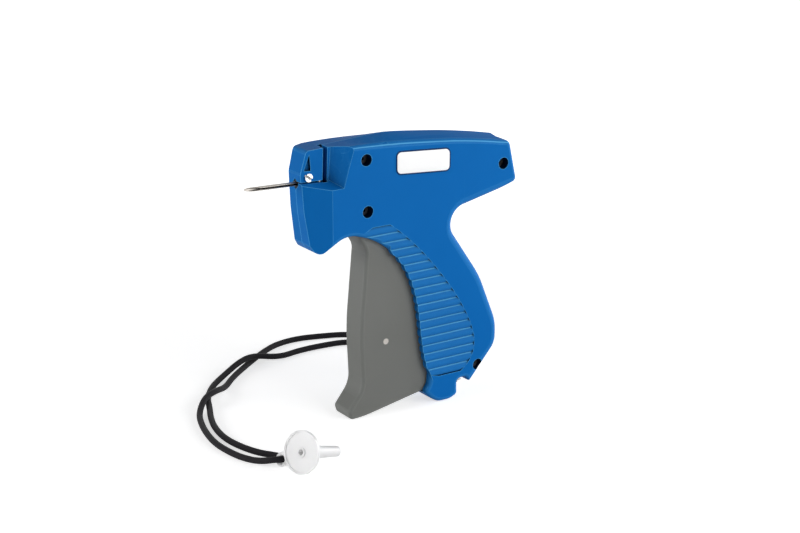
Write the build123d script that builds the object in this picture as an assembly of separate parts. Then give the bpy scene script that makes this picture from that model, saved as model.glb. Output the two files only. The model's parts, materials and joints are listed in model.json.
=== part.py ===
from build123d import *
import math
import os

# Pistol-grip garment tag attacher, in millimetres and degrees.
# X runs along the tool with the needle at -X, Y runs across it with its left side at -Y, and Z is up.
# It stands on the trigger's toe and the handle's heel, with the origin under the middle of its box.

# ------------------------------------------------------------------ housing
HALF_WIDTH = 11.5          # joint plane to the outside of one half
WALL = 2.2
EDGE_RADIUS = 2.2          # round along the outer edges
BACK_RADIUS = 4.5          # larger round where the palm rests
LIP_RADIUS = 0.5           # round on the scalloped front edge of the grip
FIT = 0.03                 # gap round a piece that sits still in its seat
RUN = 0.05                 # radial gap of a shaft that turns
# Corners of the housing seen from its left side, from the top of the grip round to its foot,
# each with the radius that rounds it. The grip's scalloped front edge closes the outline.
SHELL_CORNERS = [
    ((-18.0, 97.9), 0), ((-25.6, 100.6), 15), ((-42.2, 91.4), 4), ((-45.9, 97.2), 3),
    ((-48.5, 115.0), 60), ((-49.5, 133.5), 4), ((-46.0, 145.6), 2.6), ((-18.0, 146.7), 250),
    ((72.9, 134.7), 3.5), ((77.7, 113.2), 2.6), ((60.5, 107.8), 60), ((31.2, 101.6), 9.4),
    ((55.8, 65.2), 60), ((66.8, 37.7), 25), ((66.7, 25.5), 12), ((49.6, 6.2), 2.6),
    ((45.9, 10.6), 2.0), ((40.9, 9.9), 2.0), ((41.0, 1.8), 2.6), ((36.2, 0.0), 8),
    ((29.0, 0.0), 8), ((24.0, 3.2), 8), ((19.9, 7.4), 2.4), ((22.8, 11.0), 5), ((23.4, 17.0), 0),
]
GRIP_FRONT = [(-18.0, 97.9), (-3.0, 90.2), (8.9, 76.4), (15.0, 60.5), (18.2, 39.0), (23.4, 17.0)]
GRIP_ROUND = 60.0          # of the same line where it bounds the room inside
# The line of the web and the handle's back, whose edges are rounded further.
BACK_CORNERS = [((120.0, 120.4), 0), ((31.2, 101.6), 9.4), ((55.8, 65.2), 60), ((66.8, 37.7), 25),
                ((66.7, 25.5), 12), ((38.0, -6.9), 0)]
# The crown along the top of the barrel: places along X, and its height there at the joint plane.
CROWN = [(-40.0, 0.05), (-25.0, 0.5), (-10.0, 1.1), (3.2, 1.5), (68.0, 1.5), (71.5, -0.8)]
CROWN_HALF = 9.0
NOSE_HALF = 6.3            # half width of the nose's front face
NOSE_TAPER_START = -48.8   # X of the nose's front edge
NOSE_TAPER_END = -35.0     # X where the taper of the nose meets the flat side

# ------------------------------------------------------------------ ribs of the grip
RIB_PITCH = 4.6
RIB_BULGE = 0.75           # how far each rib stands out of its grooves
RIB_BASE = 19.4            # height of the lowest groove that crosses the front edge
SIDE_GROOVES = (-1, 18)    # the first and the last groove on the side, counted from that one
EDGE_GROOVES = (0, 15)     # and those that cross the front edge
SCALLOP_TOP = 93.6         # height of the middle of the last scallop, under the arch
# The curve at which the ribs end on the side of the handle.
RIB_END = [(-5.5, 105.0), (10.8, 91.9), (31.5, 68.6), (45.0, 48.1), (51.1, 27.8), (38.0, 12.5)]
RIB_START = 3.0            # in front of the grip's front line

# ------------------------------------------------------------------ screws
SCREW_PLACES = [(-15.3, 137.4), (-14.6, 110.8), (68.4, 123.7), (53.6, 16.2)]
SCREW_SHANK_RADIUS = 1.4
SCREW_HEAD_RADIUS = 2.7
SCREW_HEAD_HEIGHT = 2.0
SCREW_LENGTH = 12.0        # under the head
SCREW_CLEARANCE = 0.15     # round the shank in the left half
COUNTERBORE_RADIUS = 3.1
COUNTERBORE_DEPTH = 6.0
BOSS_WALL = 1.2
DRIVE_RADIUS = 1.1         # recess for the driver
DRIVE_DEPTH = 1.2

# ------------------------------------------------------------------ line of the needle
BORE_X = -48.6             # where the needle leaves its base
BORE_Z = 127.9
BORE_PITCH = 2.0           # the needle points up by this angle
NEEDLE_RADIUS = 1.1
NEEDLE_BORE_RADIUS = 0.85
NEEDLE_LENGTH = 28.66      # in front of the base
NEEDLE_ROOT_RADIUS = 1.3   # of the thicker root that the base holds
NEEDLE_ROOT = 1.2          # of that root in front of the base
NEEDLE_BEVEL = 10.0
POINT_SHARE = 0.9          # of the needle's radius at which its bevel ends in a point
NEEDLE_SLOT = 0.9
ROD_RADIUS = 0.75
ROD_GAP = 0.1              # round the rod in its guide
BASE_LENGTH = 10.0
BASE_LEFT = 2.6
BASE_RIGHT = 2.4
BASE_HALF_HEIGHT = 2.3
PORT_HALF = 3.0            # half diagonal of the diamond opening round the needle
NOSE_BLOCK_HALF = 5.5      # solid above and below the bore
NOSE_BLOCK_REST = 0.9      # of the solid behind the base
FEED_SLOT_LENGTH = 2.5
FEED_SLOT_RIGHT = 1.4
FEED_SLOT_BOTTOM = -1.2
FEED_WALL = 1.3            # behind the feed slot
KNIFE_GAP = 0.1            # behind the base
KNIFE_THICKNESS = 0.6
KNIFE_BACKING = 0.9        # between the knife and the feed slot
KNIFE_Y = (-4.5, -1.2)
KNIFE_HEIGHT = (-1.5, 4.5)
GUIDE_LENGTH_REAR = 7.4    # of the rod's guide behind the feed slot
GUIDE_HALF = 2.1
GUIDE_RIGHT = 1.9          # the guide's reach past the joint plane
NOSE_TOP = 30.0            # above the roof of the nose
LOCK_PLACE = (3.3, 3.9)    # along the bore and above it
LOCK_SHAFT_RADIUS = 1.3
LOCK_SHAFT_END = 1.5
LOCK_HEAD_RADIUS = 2.1
LOCK_HEAD_HEIGHT = 1.2
LOCK_SLOT = 0.85           # width and depth of the head's slot
LOCK_TURN = 30.0
RECESS_FLOOR = 5.2         # joint plane to the sunk left face of the nose
RECESS_BACKING = 1.8
# The sunk face's lower rear corner and its upper rear corner, then the same at the outer side.
RECESS_INNER = [(-33.5, 128.7), (-32.0, 148.0)]
RECESS_OUTER = [(-28.3, 125.0), (-21.3, 148.0)]
RECESS_LEDGE_FRONT = (-52.0, 124.6)
TRIANGLE_SLOT = [(-44.2, 143.6), (-47.4, 135.0), (-43.6, 134.8)]
TRIANGLE_DEPTH = 1.2
SLIT_HEIGHT = (0.7, 1.6)    # the fastener's filament leaves through this slit, above the bore

# ------------------------------------------------------------------ trigger
PIVOT_X = 17.0
PIVOT_Z = 14.0
KNUCKLE_RADIUS = 7.9
TRIGGER_HALF = 7.7
TRIGGER_WALL = 2.0
TRIGGER_EDGE = 1.8
TRIGGER_CAP = 4.0          # thickness of the cap that carries the teeth
TRIGGER_SWING = 14.44
TRIGGER_TOP_X = (-13.6, 10.8)  # from the top of the flare to the rear wall
TRIGGER_FRONT = [((-18.2, 98.2), 0), ((-13.0, 89.5), 7), ((-17.0, 46.5), 140),
                 ((-15.5, 15.8), 14), ((-24.4, 4.6), 2.2), ((-22.9, 0.0), 2.4), ((-15.5, 0.0), 60),
                 ((18.43, 6.23), 0)]
TRIGGER_REAR = [((24.7, 15.6), 0), ((19.8, 47.0), 150)]
PIVOT_PIN_RADIUS = 2.0
PIVOT_PIN_HALF = 6.9
LUG_HALF = 5.1
LUG_RADIUS = 4.6
CRADLE_GAP = 0.9
MOUTH_HALF = 8.2
MOUTH_DEPTH = 3.0

# ------------------------------------------------------------------ gear train
MODULE = 1.0
PRESSURE_ANGLE = 25.0
ADDENDUM = 0.8             # in modules
DEDENDUM = 1.05
BACKLASH = 0.2
SECTOR_TEETH = 192         # of the full circle
PINION_TEETH = 11
WHEEL_TEETH = 20
MESH_ANGLE = 5.5           # of the pinion, forward of upright, seen from the pivot
SECTOR_ANGLES = (3.0, 21.5)  # forward of upright, at rest
SECTOR_RIM = 6.95          # from the roots of its teeth down to the trigger's round top
CENTRE_SLACK = 0.05
SECTOR_LEFT = -3.6
SECTOR_RIGHT = 1.4
PINION_LEFT = -4.0
WHEEL_LEFT = 2.6
WHEEL_RIGHT = 7.0
AXLE_RADIUS = 1.5
AXLE_END = 8.6
AXLE_BOSS_RADIUS = 3.2
END_GAP = 0.2              # beside a wheel's faces

# ------------------------------------------------------------------ slide, along the bore
SLIDE_FRONT = 60.0
SLIDE_REAR = 106.0
SLIDE_BOTTOM = 2.6
SLIDE_TOP = 5.6
SLIDE_LEFT = -2.6
RACK_FRONT = 52.5
RACK_LEFT = 3.1
RACK_RIGHT = 6.7
WIDE_FRONT = 74.0
WIDE_HALF = 6.8
RUNNER_Z = (3.3, 4.9)
RUNNER_HALF = 8.8
RUNNER_REAR = 104.0
RUNNER_GAP = 0.3
RAIL_THICKNESS = 1.3
RAIL_FRONT = 29.5
ROD_BOSS = (66.0, 73.0)
ROD_BOSS_HALF = 1.9
ROD_END = 72.0
RACK_RELIEF = 0.4          # round the rack's nose at the end of its stroke
SLIDE_SKIN = 1.0           # left above the hollow of the carriage

# ------------------------------------------------------------------ fastener feed
FEED_WHEEL_Y = 3.3
FEED_WHEEL_RISE = 7.6      # above the bore
FEED_WHEEL_WIDTH = 2.1
FEED_WHEEL_GAP = 0.3       # in front of the wheel in its slot
FEED_WHEEL_RADIUS = 3.6
FEED_WHEEL_ROOT = 2.1
FEED_WHEEL_TEETH = 8
FEED_TOOTH = 0.9           # width at the root
FEED_TIP = 0.5
FEED_AXLE_RADIUS = 0.8
BRACKET_THICKNESS = (1.8, 1.2)  # of the front and the rear bracket
BRACKET_GAP = (1.1, 0.5)   # from the wheel to each bracket
AXLE_INSET = 0.2           # of the wheel's axle in the front bracket
BRACKET_Y = (1.8, 5.2)
BRACKET_BOTTOM = 5.2
LEVER_PIVOT = (24.0, 11.0) # along the bore and above it
LEVER_PIN_RADIUS = 0.9
LEVER_HUB_RADIUS = 2.2
LEVER_TAPER = 20.0         # by which the arm's edges leave the hub turned from upright
LEVER_HEEL = 1.5           # the arm's height over the finger, behind it
LEVER_Y = (7.0, 8.0)
LEVER_PIN_COVER = 1.1      # of the housing's side over the pin's end
LEVER_HEAD_RADIUS = 1.6    # of the pin's head
LEVER_HEAD_HEIGHT = 0.6
FINGER_Y = 6.4
FINGER_LENGTH = 2.5
FINGER_Z = (4.0, 5.2)
LEAF_THICKNESS = 0.35
LEAF_ROOT = (12.2, 16.0)   # heights of the strip on the wall
LEAF_PAD = 0.85            # thickness of the pad on the wall that the strip lies on
LEAF_TIP = (5.9, 10.75)    # across and above the bore

# ------------------------------------------------------------------ return spring
SPRING_PIN_X = -1.7
SPRING_PIN_Z = 38.9
SPRING_PIN_RADIUS = 1.55
SPRING_RADIUS = 3.6
SPRING_WIRE_RADIUS = 0.55
SPRING_TURNS = 9
SPRING_SEAT_X = 38.0       # face of the rib that the spring bears on
SEAT_THICKNESS = 3.0
SEAT_Z = (31.0, 47.0)
GUIDE_RADIUS = 2.6
GUIDE_LENGTH = 30.0        # from the pin to the tip
SHOULDER_RADIUS = 4.3
SHOULDER_END = 4.2         # from the pin to the face that the spring bears on
SHOULDER_THICKNESS = 1.5
GUIDE_HUB_HALF = 3.0
SPIGOT_LENGTH = 2.0

# ------------------------------------------------------------------ cord, crimp and needle cap
LANYARD_PIN_RADIUS = 1.0
LANYARD_Z = 5.6
LANYARD_X = (39.6, 50.2)
CRIMP_X = (41.5, 48.1)
CRIMP_Y = (-1.0, 6.5)
CRIMP_HALF_HEIGHT = 2.0
CORD_RADIUS = 1.55
STRAND_X = (46.4, 43.2)    # of the outgoing and the returning strand in the crimp
STRAND_LEAD = 8.5          # straight run of each out of the crimp
LAYER_GAP = 0.5            # between a strand and one that it crosses
ARC_SHARE = 0.45           # of the shorter run beside a bend that its arc takes up
CAP_FLANGE_RADIUS = 10.6
CAP_FLANGE_THICKNESS = 1.3
CAP_RIM_WIDTH = 1.1
CAP_RIM_HEIGHT = 0.5
CAP_HUB_RADIUS = 2.4
CAP_TUBE_RADIUS = 3.4
CAP_END_RADIUS = 2.6
CAP_LENGTH = 27.0
CAP_BORE_RADIUS = 1.4
CAP_BORE_DEPTH = 25.0
CAP_PLACE = (-77.6, -49.9)
CAP_YAW = 18.0
LUG_EYE_DISTANCE = 12.9    # from the cap's axis
LUG_EYE_RADIUS = 2.1
LUG_EYE_WALL = 1.4
LUG_EYE_THICKNESS = 2.2
LUG_EYE_ANGLE = 29.0       # below level
EYE_RUN = 5.0              # half the run through the eye
# The cord's way from the crimp to the cap's eye, and back beside itself: X, Y and the layer, which
# is 0 on the floor and 1 on top of another strand.
CORD_OUT = [(48.6, 28, 0), (53.0, 42, 0), (56.0, 57, 0), (56.5, 73, 0), (52.0, 89, 0),
            (41.7, 101, 0), (27.8, 106.2, 0), (14.4, 110, 0), (0.5, 108.5, 0), (-11.5, 102.2, 0),
            (-23.5, 93.6, 0), (-35.0, 84.9, 0), (-47.5, 76, 0), (-58.0, 65.6, 0), (-68.9, 54.9, 1),
            (-76.8, 48.6, 1), (-84.8, 37.6, 0), (-90.6, 25.6, 0), (-95.2, 13, 0),
            (-98.0, 0.5, 0), (-97.7, -11, 0), (-95.2, -21.8, 0), (-90.6, -31.8, 0.18)]
CORD_BACK = [(-79.2, -28.2, 0.08), (-84.6, -17.5, 0), (-88.4, -6, 0), (-89.3, 6.2, 0),
             (-86.7, 19.8, 0), (-81.9, 33.6, 0), (-75.9, 46.4, 0), (-68.4, 59.4, 0),
             (-58.6, 71.2, 0), (-47.2, 81, 0), (-33.7, 88.2, 1), (-24.1, 91, 1), (-9.5, 89.4, 0),
             (6.0, 92.6, 0), (21.0, 92.3, 0), (34.2, 90.4, 0), (44.6, 82.4, 0), (49.8, 70, 0),
             (50.6, 56, 0), (48.0, 42, 0), (44.2, 28, 0)]

# ------------------------------------------------------------------ worked-out values
INNER = HALF_WIDTH - WALL
LEAF_SEAT = INNER - LEAF_PAD
LEVER_PIN_END = HALF_WIDTH - LEVER_PIN_COVER
KNIFE_START = BASE_LENGTH + KNIFE_GAP
NOSE_BLOCK_END = BASE_LENGTH + NOSE_BLOCK_REST
FEED_SLOT_START = KNIFE_START + KNIFE_THICKNESS + KNIFE_BACKING
FEED_SLOT_END = FEED_SLOT_START + FEED_SLOT_LENGTH
GUIDE_END = FEED_SLOT_END + GUIDE_LENGTH_REAR
FEED_WHEEL_X = (FEED_SLOT_START + FEED_WHEEL_GAP, FEED_SLOT_START + FEED_WHEEL_GAP + FEED_WHEEL_WIDTH)
FRONT_BRACKET_END = FEED_WHEEL_X[0] - BRACKET_GAP[0]
REAR_BRACKET_START = FEED_WHEEL_X[1] + BRACKET_GAP[1]
BRACKETS = [(FRONT_BRACKET_END - BRACKET_THICKNESS[0], FRONT_BRACKET_END),
            (REAR_BRACKET_START, REAR_BRACKET_START + BRACKET_THICKNESS[1])]
FEED_AXLE_X = (BRACKETS[0][0] + AXLE_INSET, BRACKETS[1][1] - AXLE_INSET / 2)
FINGER = (FEED_WHEEL_X[0] + AXLE_INSET, FEED_WHEEL_X[0] + AXLE_INSET + FINGER_LENGTH)
BORE = Location((BORE_X, 0, BORE_Z), (0, BORE_PITCH, 0))
SECTOR_PITCH_RADIUS = MODULE * SECTOR_TEETH / 2
TRIGGER_TOP_RADIUS = SECTOR_PITCH_RADIUS - DEDENDUM * MODULE - SECTOR_RIM
PINION_PITCH_RADIUS = MODULE * PINION_TEETH / 2
WHEEL_PITCH_RADIUS = MODULE * WHEEL_TEETH / 2
GEAR_DISTANCE = SECTOR_PITCH_RADIUS + PINION_PITCH_RADIUS + CENTRE_SLACK
STROKE = SECTOR_PITCH_RADIUS / PINION_PITCH_RADIUS * WHEEL_PITCH_RADIUS * math.radians(TRIGGER_SWING)
HEIGHT = max(z for (x, z), radius in SHELL_CORNERS)
GEAR_X = PIVOT_X - GEAR_DISTANCE * math.sin(math.radians(MESH_ANGLE))
GEAR_Z = PIVOT_Z + GEAR_DISTANCE * math.cos(math.radians(MESH_ANGLE))
PAST = 1.0                 # how far a cutting tool goes past what it cuts


def across(face, left, right):
    """A solid with the outline of a face on the joint plane, from Y = left to Y = right."""
    return Pos(0, right, 0) * extrude(Plane.XZ * face, right - left)


def rounded_line(corners):
    """A line through corners, each rounded by the radius beside it; the first and last stay sharp."""
    points = [point for point, radius in corners]
    return FilletPolyline(*points, radius=[radius for point, radius in corners[1:-1]])


def polygon(*points):
    return make_face(Polyline(*points, close=True))


def crossbar(x, z, radius, left, right):
    """A round bar across the tool."""
    return Pos(x, (left + right) / 2, z) * Rot(90, 0, 0) * Cylinder(radius, right - left)


def brick(x, y, z):
    """A box given by its limits on each axis."""
    size = [high - low for low, high in (x, y, z)]
    middle = [(low + high) / 2 for low, high in (x, y, z)]
    return Pos(*middle) * Box(*size)


def cut(shape, tools):
    """Take several tools off a shape, one after the other."""
    for tool in tools:
        shape -= tool
    return shape


def to_bore(x, z):
    """The place of a point of the joint plane, along the bore and above it."""
    angle = math.radians(BORE_PITCH)
    dx, dz = x - BORE_X, z - BORE_Z
    return dx * math.cos(angle) - dz * math.sin(angle), dx * math.sin(angle) + dz * math.cos(angle)


def from_bore(along, above):
    angle = math.radians(BORE_PITCH)
    x = BORE_X + along * math.cos(angle) + above * math.sin(angle)
    z = BORE_Z - along * math.sin(angle) + above * math.cos(angle)
    return x, z


def lengthwise(x, radius):
    """A round bar along X."""
    return Pos((x[0] + x[1]) / 2, 0, 0) * Rot(0, 90, 0) * Cylinder(radius, x[1] - x[0])


def along_bore(x, radius, y=0, z=0):
    """A round bar along the bore, beside it by y and above it by z."""
    return BORE * Pos(0, y, z) * lengthwise(x, radius)


GEAR_ALONG, GEAR_ABOVE = to_bore(GEAR_X, GEAR_Z)
RACK_PITCH_LINE = GEAR_ABOVE + WHEEL_PITCH_RADIUS + CENTRE_SLACK


# ------------------------------------------------------------------ gears
def involute(angle):
    return math.tan(angle) - angle


def tooth(teeth, inward=0.3):
    """One tooth that points along +X of a wheel about the origin, from inside its root to its tip."""
    pitch_radius = MODULE * teeth / 2
    pressure = math.radians(PRESSURE_ANGLE)
    base = pitch_radius * math.cos(pressure)
    root = pitch_radius - DEDENDUM * MODULE
    tip = pitch_radius + ADDENDUM * MODULE
    half = (math.pi * MODULE - BACKLASH) / 4 / pitch_radius + involute(pressure)
    start = max(root, base)
    flank = [(root - inward, start)] + [(r, r) for r in (start, (start + tip) / 2, tip)]
    upper = []
    for radius, shape_radius in flank:
        angle = half - involute(math.acos(min(1.0, base / shape_radius)))
        upper.append((radius * math.cos(angle), radius * math.sin(angle)))
    lower = [(x, -y) for x, y in reversed(upper)]
    return polygon(*(upper + lower))


def spur_wheel(teeth, towards):
    """The face of a whole wheel with one tooth at the angle towards."""
    body = Circle(MODULE * teeth / 2 - DEDENDUM * MODULE)
    return body + [Rot(0, 0, towards + 360 / teeth * k) * tooth(teeth) for k in range(teeth)]


def sector_face():
    """The toothed rim on the trigger, with a gap between teeth at the pinion."""
    start, end = SECTOR_ANGLES
    root = SECTOR_PITCH_RADIUS - DEDENDUM * MODULE
    inner = TRIGGER_TOP_RADIUS - TRIGGER_CAP
    corners = [(0, 0)] + [(2 * root * math.cos(a), 2 * root * math.sin(a))
                          for a in (math.radians(90 + start), math.radians(90 + end))]
    rim = (Circle(root) - Circle(inner)) & polygon(*corners)
    pitch = 360 / SECTOR_TEETH
    angles = [MESH_ANGLE + pitch * (k + 0.5) for k in range(-2, SECTOR_TEETH)]
    inside = [a for a in angles if start + pitch / 2 <= a <= end - pitch / 2]
    return Pos(PIVOT_X, PIVOT_Z) * (rim + [Rot(0, 0, 90 + a) * tooth(SECTOR_TEETH) for a in inside])


# ------------------------------------------------------------------ housing outline
def grip_line():
    """The smooth line that the scallops of the grip's front edge follow, from the arch to the heel."""
    return Spline(*GRIP_FRONT)


def rib_heights(first, last):
    """Heights of some of the grooves between the ribs, from the top down."""
    return [RIB_BASE + RIB_PITCH * k for k in reversed(range(first, last + 1))]


def at_height(line, z):
    return line.find_intersection_points(Axis((-100, z, 0), (1, 0, 0)))[0]


def inner_grip_line():
    """The grip's front line drawn with arcs, for what lies inside it."""
    middle = [(point, GRIP_ROUND) for point in GRIP_FRONT[1:-1]]
    return rounded_line([(GRIP_FRONT[0], 0)] + middle + [(GRIP_FRONT[-1], 0)])


def inner_face():
    """The outline of the room inside the housing, one wall in from the smooth outside."""
    outside = make_face(Curve() + [rounded_line(SHELL_CORNERS), inner_grip_line()])
    return offset(outside, -WALL, kind=Kind.INTERSECTION)


def scalloped_face():
    """The housing's outline with the ribs bulging out of the grip's front edge."""
    line = grip_line()
    knots = [at_height(line, z) for z in rib_heights(*EDGE_GROOVES)]
    edges = [rounded_line(SHELL_CORNERS)]
    edges.append(ThreePointArc(GRIP_FRONT[0], at_height(line, SCALLOP_TOP), knots[0]))
    for upper, lower in zip(knots, knots[1:]):
        run = (lower - upper).normalized()
        edges.append(ThreePointArc(upper, (upper + lower) / 2 + Vector(run.Y, -run.X) * RIB_BULGE, lower))
    edges.append(Line(knots[-1], GRIP_FRONT[-1]))
    return make_face(Curve() + edges)


def is_lip(edge):
    """Whether an edge of the outer side runs along the grip's front."""
    centre = edge.center()
    if not GRIP_FRONT[-1][1] < centre.Z < GRIP_FRONT[0][1]:
        return False
    return abs(at_height(grip_line(), centre.Z).X - centre.X) < 2 * RIB_BULGE


def ribs():
    """What is cut from the left side between the ribs."""
    heights = rib_heights(*SIDE_GROOVES)
    roll = RIB_BULGE / 2 + RIB_PITCH ** 2 / 8 / RIB_BULGE
    front = [(x - RIB_START, z) for x, z in GRIP_FRONT]
    outline = [Spline(*front), Line(front[-1], RIB_END[-1]), Spline(*RIB_END), Line(RIB_END[0], front[0])]
    side = Rectangle(4 * HEIGHT, heights[0] - heights[-1], align=(Align.CENTER, Align.MIN))
    area = make_face(Curve() + outline) & Pos(0, heights[-1]) * side
    grooves = across(area, -HALF_WIDTH - PAST, -HALF_WIDTH + RIB_BULGE)
    for upper, lower in zip(heights, heights[1:]):
        rib = lengthwise((-HEIGHT, HEIGHT), roll)
        grooves -= Pos(0, -HALF_WIDTH + roll, (upper + lower) / 2) * rib
    return grooves


def nose_taper(inset):
    """What the taper takes off the left side of the nose, less a wall."""
    slope = (HALF_WIDTH - NOSE_HALF) / (NOSE_TAPER_END - NOSE_TAPER_START)
    shift = inset * math.hypot(1, slope)
    front, rear = NOSE_TAPER_START - HALF_WIDTH, NOSE_TAPER_END + HALF_WIDTH
    points = [(x, -NOSE_HALF + shift - slope * (x - NOSE_TAPER_START)) for x in (front, rear)]
    far = -3 * HALF_WIDTH
    return extrude(polygon(*points, (rear, far), (front, far)), HEIGHT + PAST)


def recess(grow):
    """The sunk field round the needle on the left side of the nose, grown by a wall."""
    (x1, z1), (x2, z2) = RECESS_INNER
    (x3, z3), (x4, z4) = RECESS_OUTER
    x0, z0 = RECESS_LEDGE_FRONT
    inner = polygon((x0, z1 - grow), (x1 + grow, z1 - grow), (x2 + grow, z2), (x0, z2))
    outer = polygon((x0, z0 - grow), (x3 + grow, z3 - grow), (x4 + grow, z4), (x0, z4))
    deep = Plane.XZ.offset(RECESS_FLOOR - grow) * inner
    flush = Plane.XZ.offset(HALF_WIDTH) * outer
    past = Plane.XZ.offset(HALF_WIDTH + PAST) * outer
    return loft([deep, flush], ruled=True) + loft([flush, past], ruled=True)


def crown():
    """The shallow wedge that lifts the top of the barrel towards the joint plane."""
    edges = rounded_line(SHELL_CORNERS).edges()
    sections = []
    for x, height in CROWN:
        upright = Axis((x, 0, 0), (0, 1, 0))
        z = max(point.Y for edge in edges for point in edge.find_intersection_points(upright))
        corners = [(-CROWN_HALF, z - PAST), (0, z - PAST), (0, z + height), (-CROWN_HALF, z + min(height, 0))]
        sections.append(Plane.YZ.offset(x) * polygon(*corners))
    return loft(sections, ruled=True)


def outer_half():
    """One half's outside as a full block, left of the joint plane."""
    block = across(scalloped_face(), -HALF_WIDTH, 0)
    side = block.faces().sort_by(Axis.Y)[0]
    block = fillet([edge for edge in side.edges() if not is_lip(edge)], EDGE_RADIUS)
    start, end = BACK_CORNERS[0][0], BACK_CORNERS[-1][0]
    far = Polyline(end, (-start[0], end[1]), (-start[0], 2 * start[1]), (start[0], 2 * start[1]), start)
    palm = across(make_face(Curve() + [rounded_line(BACK_CORNERS), far]), -HALF_WIDTH, 0)
    side = palm.faces().sort_by(Axis.Y)[0]
    handle = [edge for edge in side.edges() if end[1] < edge.center().Z < start[1]]
    palm = fillet([edge for edge in handle if edge.center().X > 0], BACK_RADIUS)
    return (block & palm) + crown() - nose_taper(0) - ribs()


# ------------------------------------------------------------------ inside of the housing
def hollow():
    """The room inside the left half, with the mouth that the trigger moves through."""
    room = across(inner_face(), -INNER, 0)
    return room - nose_taper(WALL) - recess(RECESS_BACKING)


def lug_face():
    arm = 2 * KNUCKLE_RADIUS
    return Pos(PIVOT_X, PIVOT_Z) * (Circle(LUG_RADIUS) + Pos(arm / 2, 0) * Rectangle(arm, 2 * LUG_RADIUS))


def mouth():
    """The opening of the grip for the trigger, round the lug that holds its pivot."""
    front = make_face(Curve() + [inner_grip_line(), Polyline(
        GRIP_FRONT[-1], (PIVOT_X, PIVOT_Z), (GRIP_FRONT[0][0] - RIB_BULGE, PIVOT_Z), GRIP_FRONT[0])])
    heel = Pos(PIVOT_X, PIVOT_Z) * Circle(KNUCKLE_RADIUS + CRADLE_GAP)
    opening = across(offset(front, MOUTH_DEPTH, kind=Kind.INTERSECTION) + heel, -MOUTH_HALF, MOUTH_HALF)
    return opening - across(lug_face(), -LUG_HALF, LUG_HALF)


def pivot_stand():
    """The cradle round the trigger's knuckle and the lug inside it."""
    knuckle = KNUCKLE_RADIUS + CRADLE_GAP
    cradle = Pos(PIVOT_X, PIVOT_Z) * (Circle(knuckle + WALL) - Circle(knuckle))
    return across(cradle, -HALF_WIDTH, 0) + across(lug_face(), -LUG_HALF, 0)


def rails():
    low, high = RUNNER_Z
    across_y = (-HALF_WIDTH, -WIDE_HALF - RUNNER_GAP)
    below = (low - RUNNER_GAP - RAIL_THICKNESS, low - RUNNER_GAP)
    above = (high + RUNNER_GAP, high + RUNNER_GAP + RAIL_THICKNESS)
    return [BORE * brick((RAIL_FRONT, SLIDE_REAR), across_y, z) for z in (below, above)]


def screw_bosses():
    radius = COUNTERBORE_RADIUS + BOSS_WALL
    return [crossbar(x, z, radius, -HALF_WIDTH, 0) for x, z in SCREW_PLACES]


def spring_seat():
    """The rib across the handle that the return spring bears on, with a spigot inside the spring."""
    rib = brick((SPRING_SEAT_X, SPRING_SEAT_X + SEAT_THICKNESS), (-HALF_WIDTH, 0), SEAT_Z)
    spigot = lengthwise((SPRING_SEAT_X - SPIGOT_LENGTH, SPRING_SEAT_X), GUIDE_RADIUS)
    spigot = Pos(0, 0, SPRING_PIN_Z) * spigot
    return rib + (spigot & brick((0, SPRING_SEAT_X), (-HALF_WIDTH, 0), SEAT_Z))


def nose_block():
    """The solid round the needle's base, as far as the front of the feed slot."""
    height = (-NOSE_BLOCK_HALF, NOSE_BLOCK_HALF)
    return BORE * brick((-NOSE_BLOCK_HALF, NOSE_BLOCK_END), (-HALF_WIDTH, 0), height)


def stands():
    """What stands inside both halves, drawn in the left one."""
    return [nose_block(), pivot_stand(), spring_seat()] + screw_bosses() + rails()


def inside_left():
    """What stands inside the left half only."""
    rear = FEED_SLOT_END + FEED_WALL
    backing = (RECESS_BACKING - RECESS_FLOOR, 0)
    return [
        BORE * brick((KNIFE_START, rear), (-HALF_WIDTH, 0), (-NOSE_BLOCK_HALF, NOSE_BLOCK_HALF)),
        BORE * brick((BASE_LENGTH - PAST, rear), backing, (NOSE_BLOCK_HALF - PAST, NOSE_TOP)),
        BORE * brick((FEED_SLOT_END, GUIDE_END), (-HALF_WIDTH, 0), (-GUIDE_HALF, GUIDE_HALF)),
        crossbar(GEAR_X, GEAR_Z, AXLE_BOSS_RADIUS, -HALF_WIDTH, PINION_LEFT - END_GAP),
    ]


def inside_right():
    """What stands inside the right half only."""
    rear = FEED_SLOT_END + FEED_WALL
    shelf = (-NOSE_BLOCK_HALF, SLIDE_BOTTOM - RUNNER_GAP)
    brackets = [BORE * brick(x, BRACKET_Y, (BRACKET_BOTTOM, NOSE_TOP)) for x in BRACKETS]
    return brackets + [
        BORE * brick((KNIFE_START, rear), (0, GUIDE_RIGHT), shelf),
        BORE * brick(FEED_WHEEL_X, (LEAF_SEAT, HALF_WIDTH), LEAF_ROOT),
        crossbar(*from_bore(*LEVER_PIVOT), LEVER_HUB_RADIUS, LEVER_Y[1] + END_GAP, HALF_WIDTH),
        crossbar(GEAR_X, GEAR_Z, AXLE_BOSS_RADIUS, WHEEL_RIGHT + END_GAP, HALF_WIDTH),
    ]


def nose_core():
    """The middle of the nose above the slit, which belongs to the right half."""
    height = (SLIT_HEIGHT[1], NOSE_TOP)
    return BORE * brick((-NOSE_BLOCK_HALF, FEED_SLOT_START), (-RECESS_FLOOR, 0), height)


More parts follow.
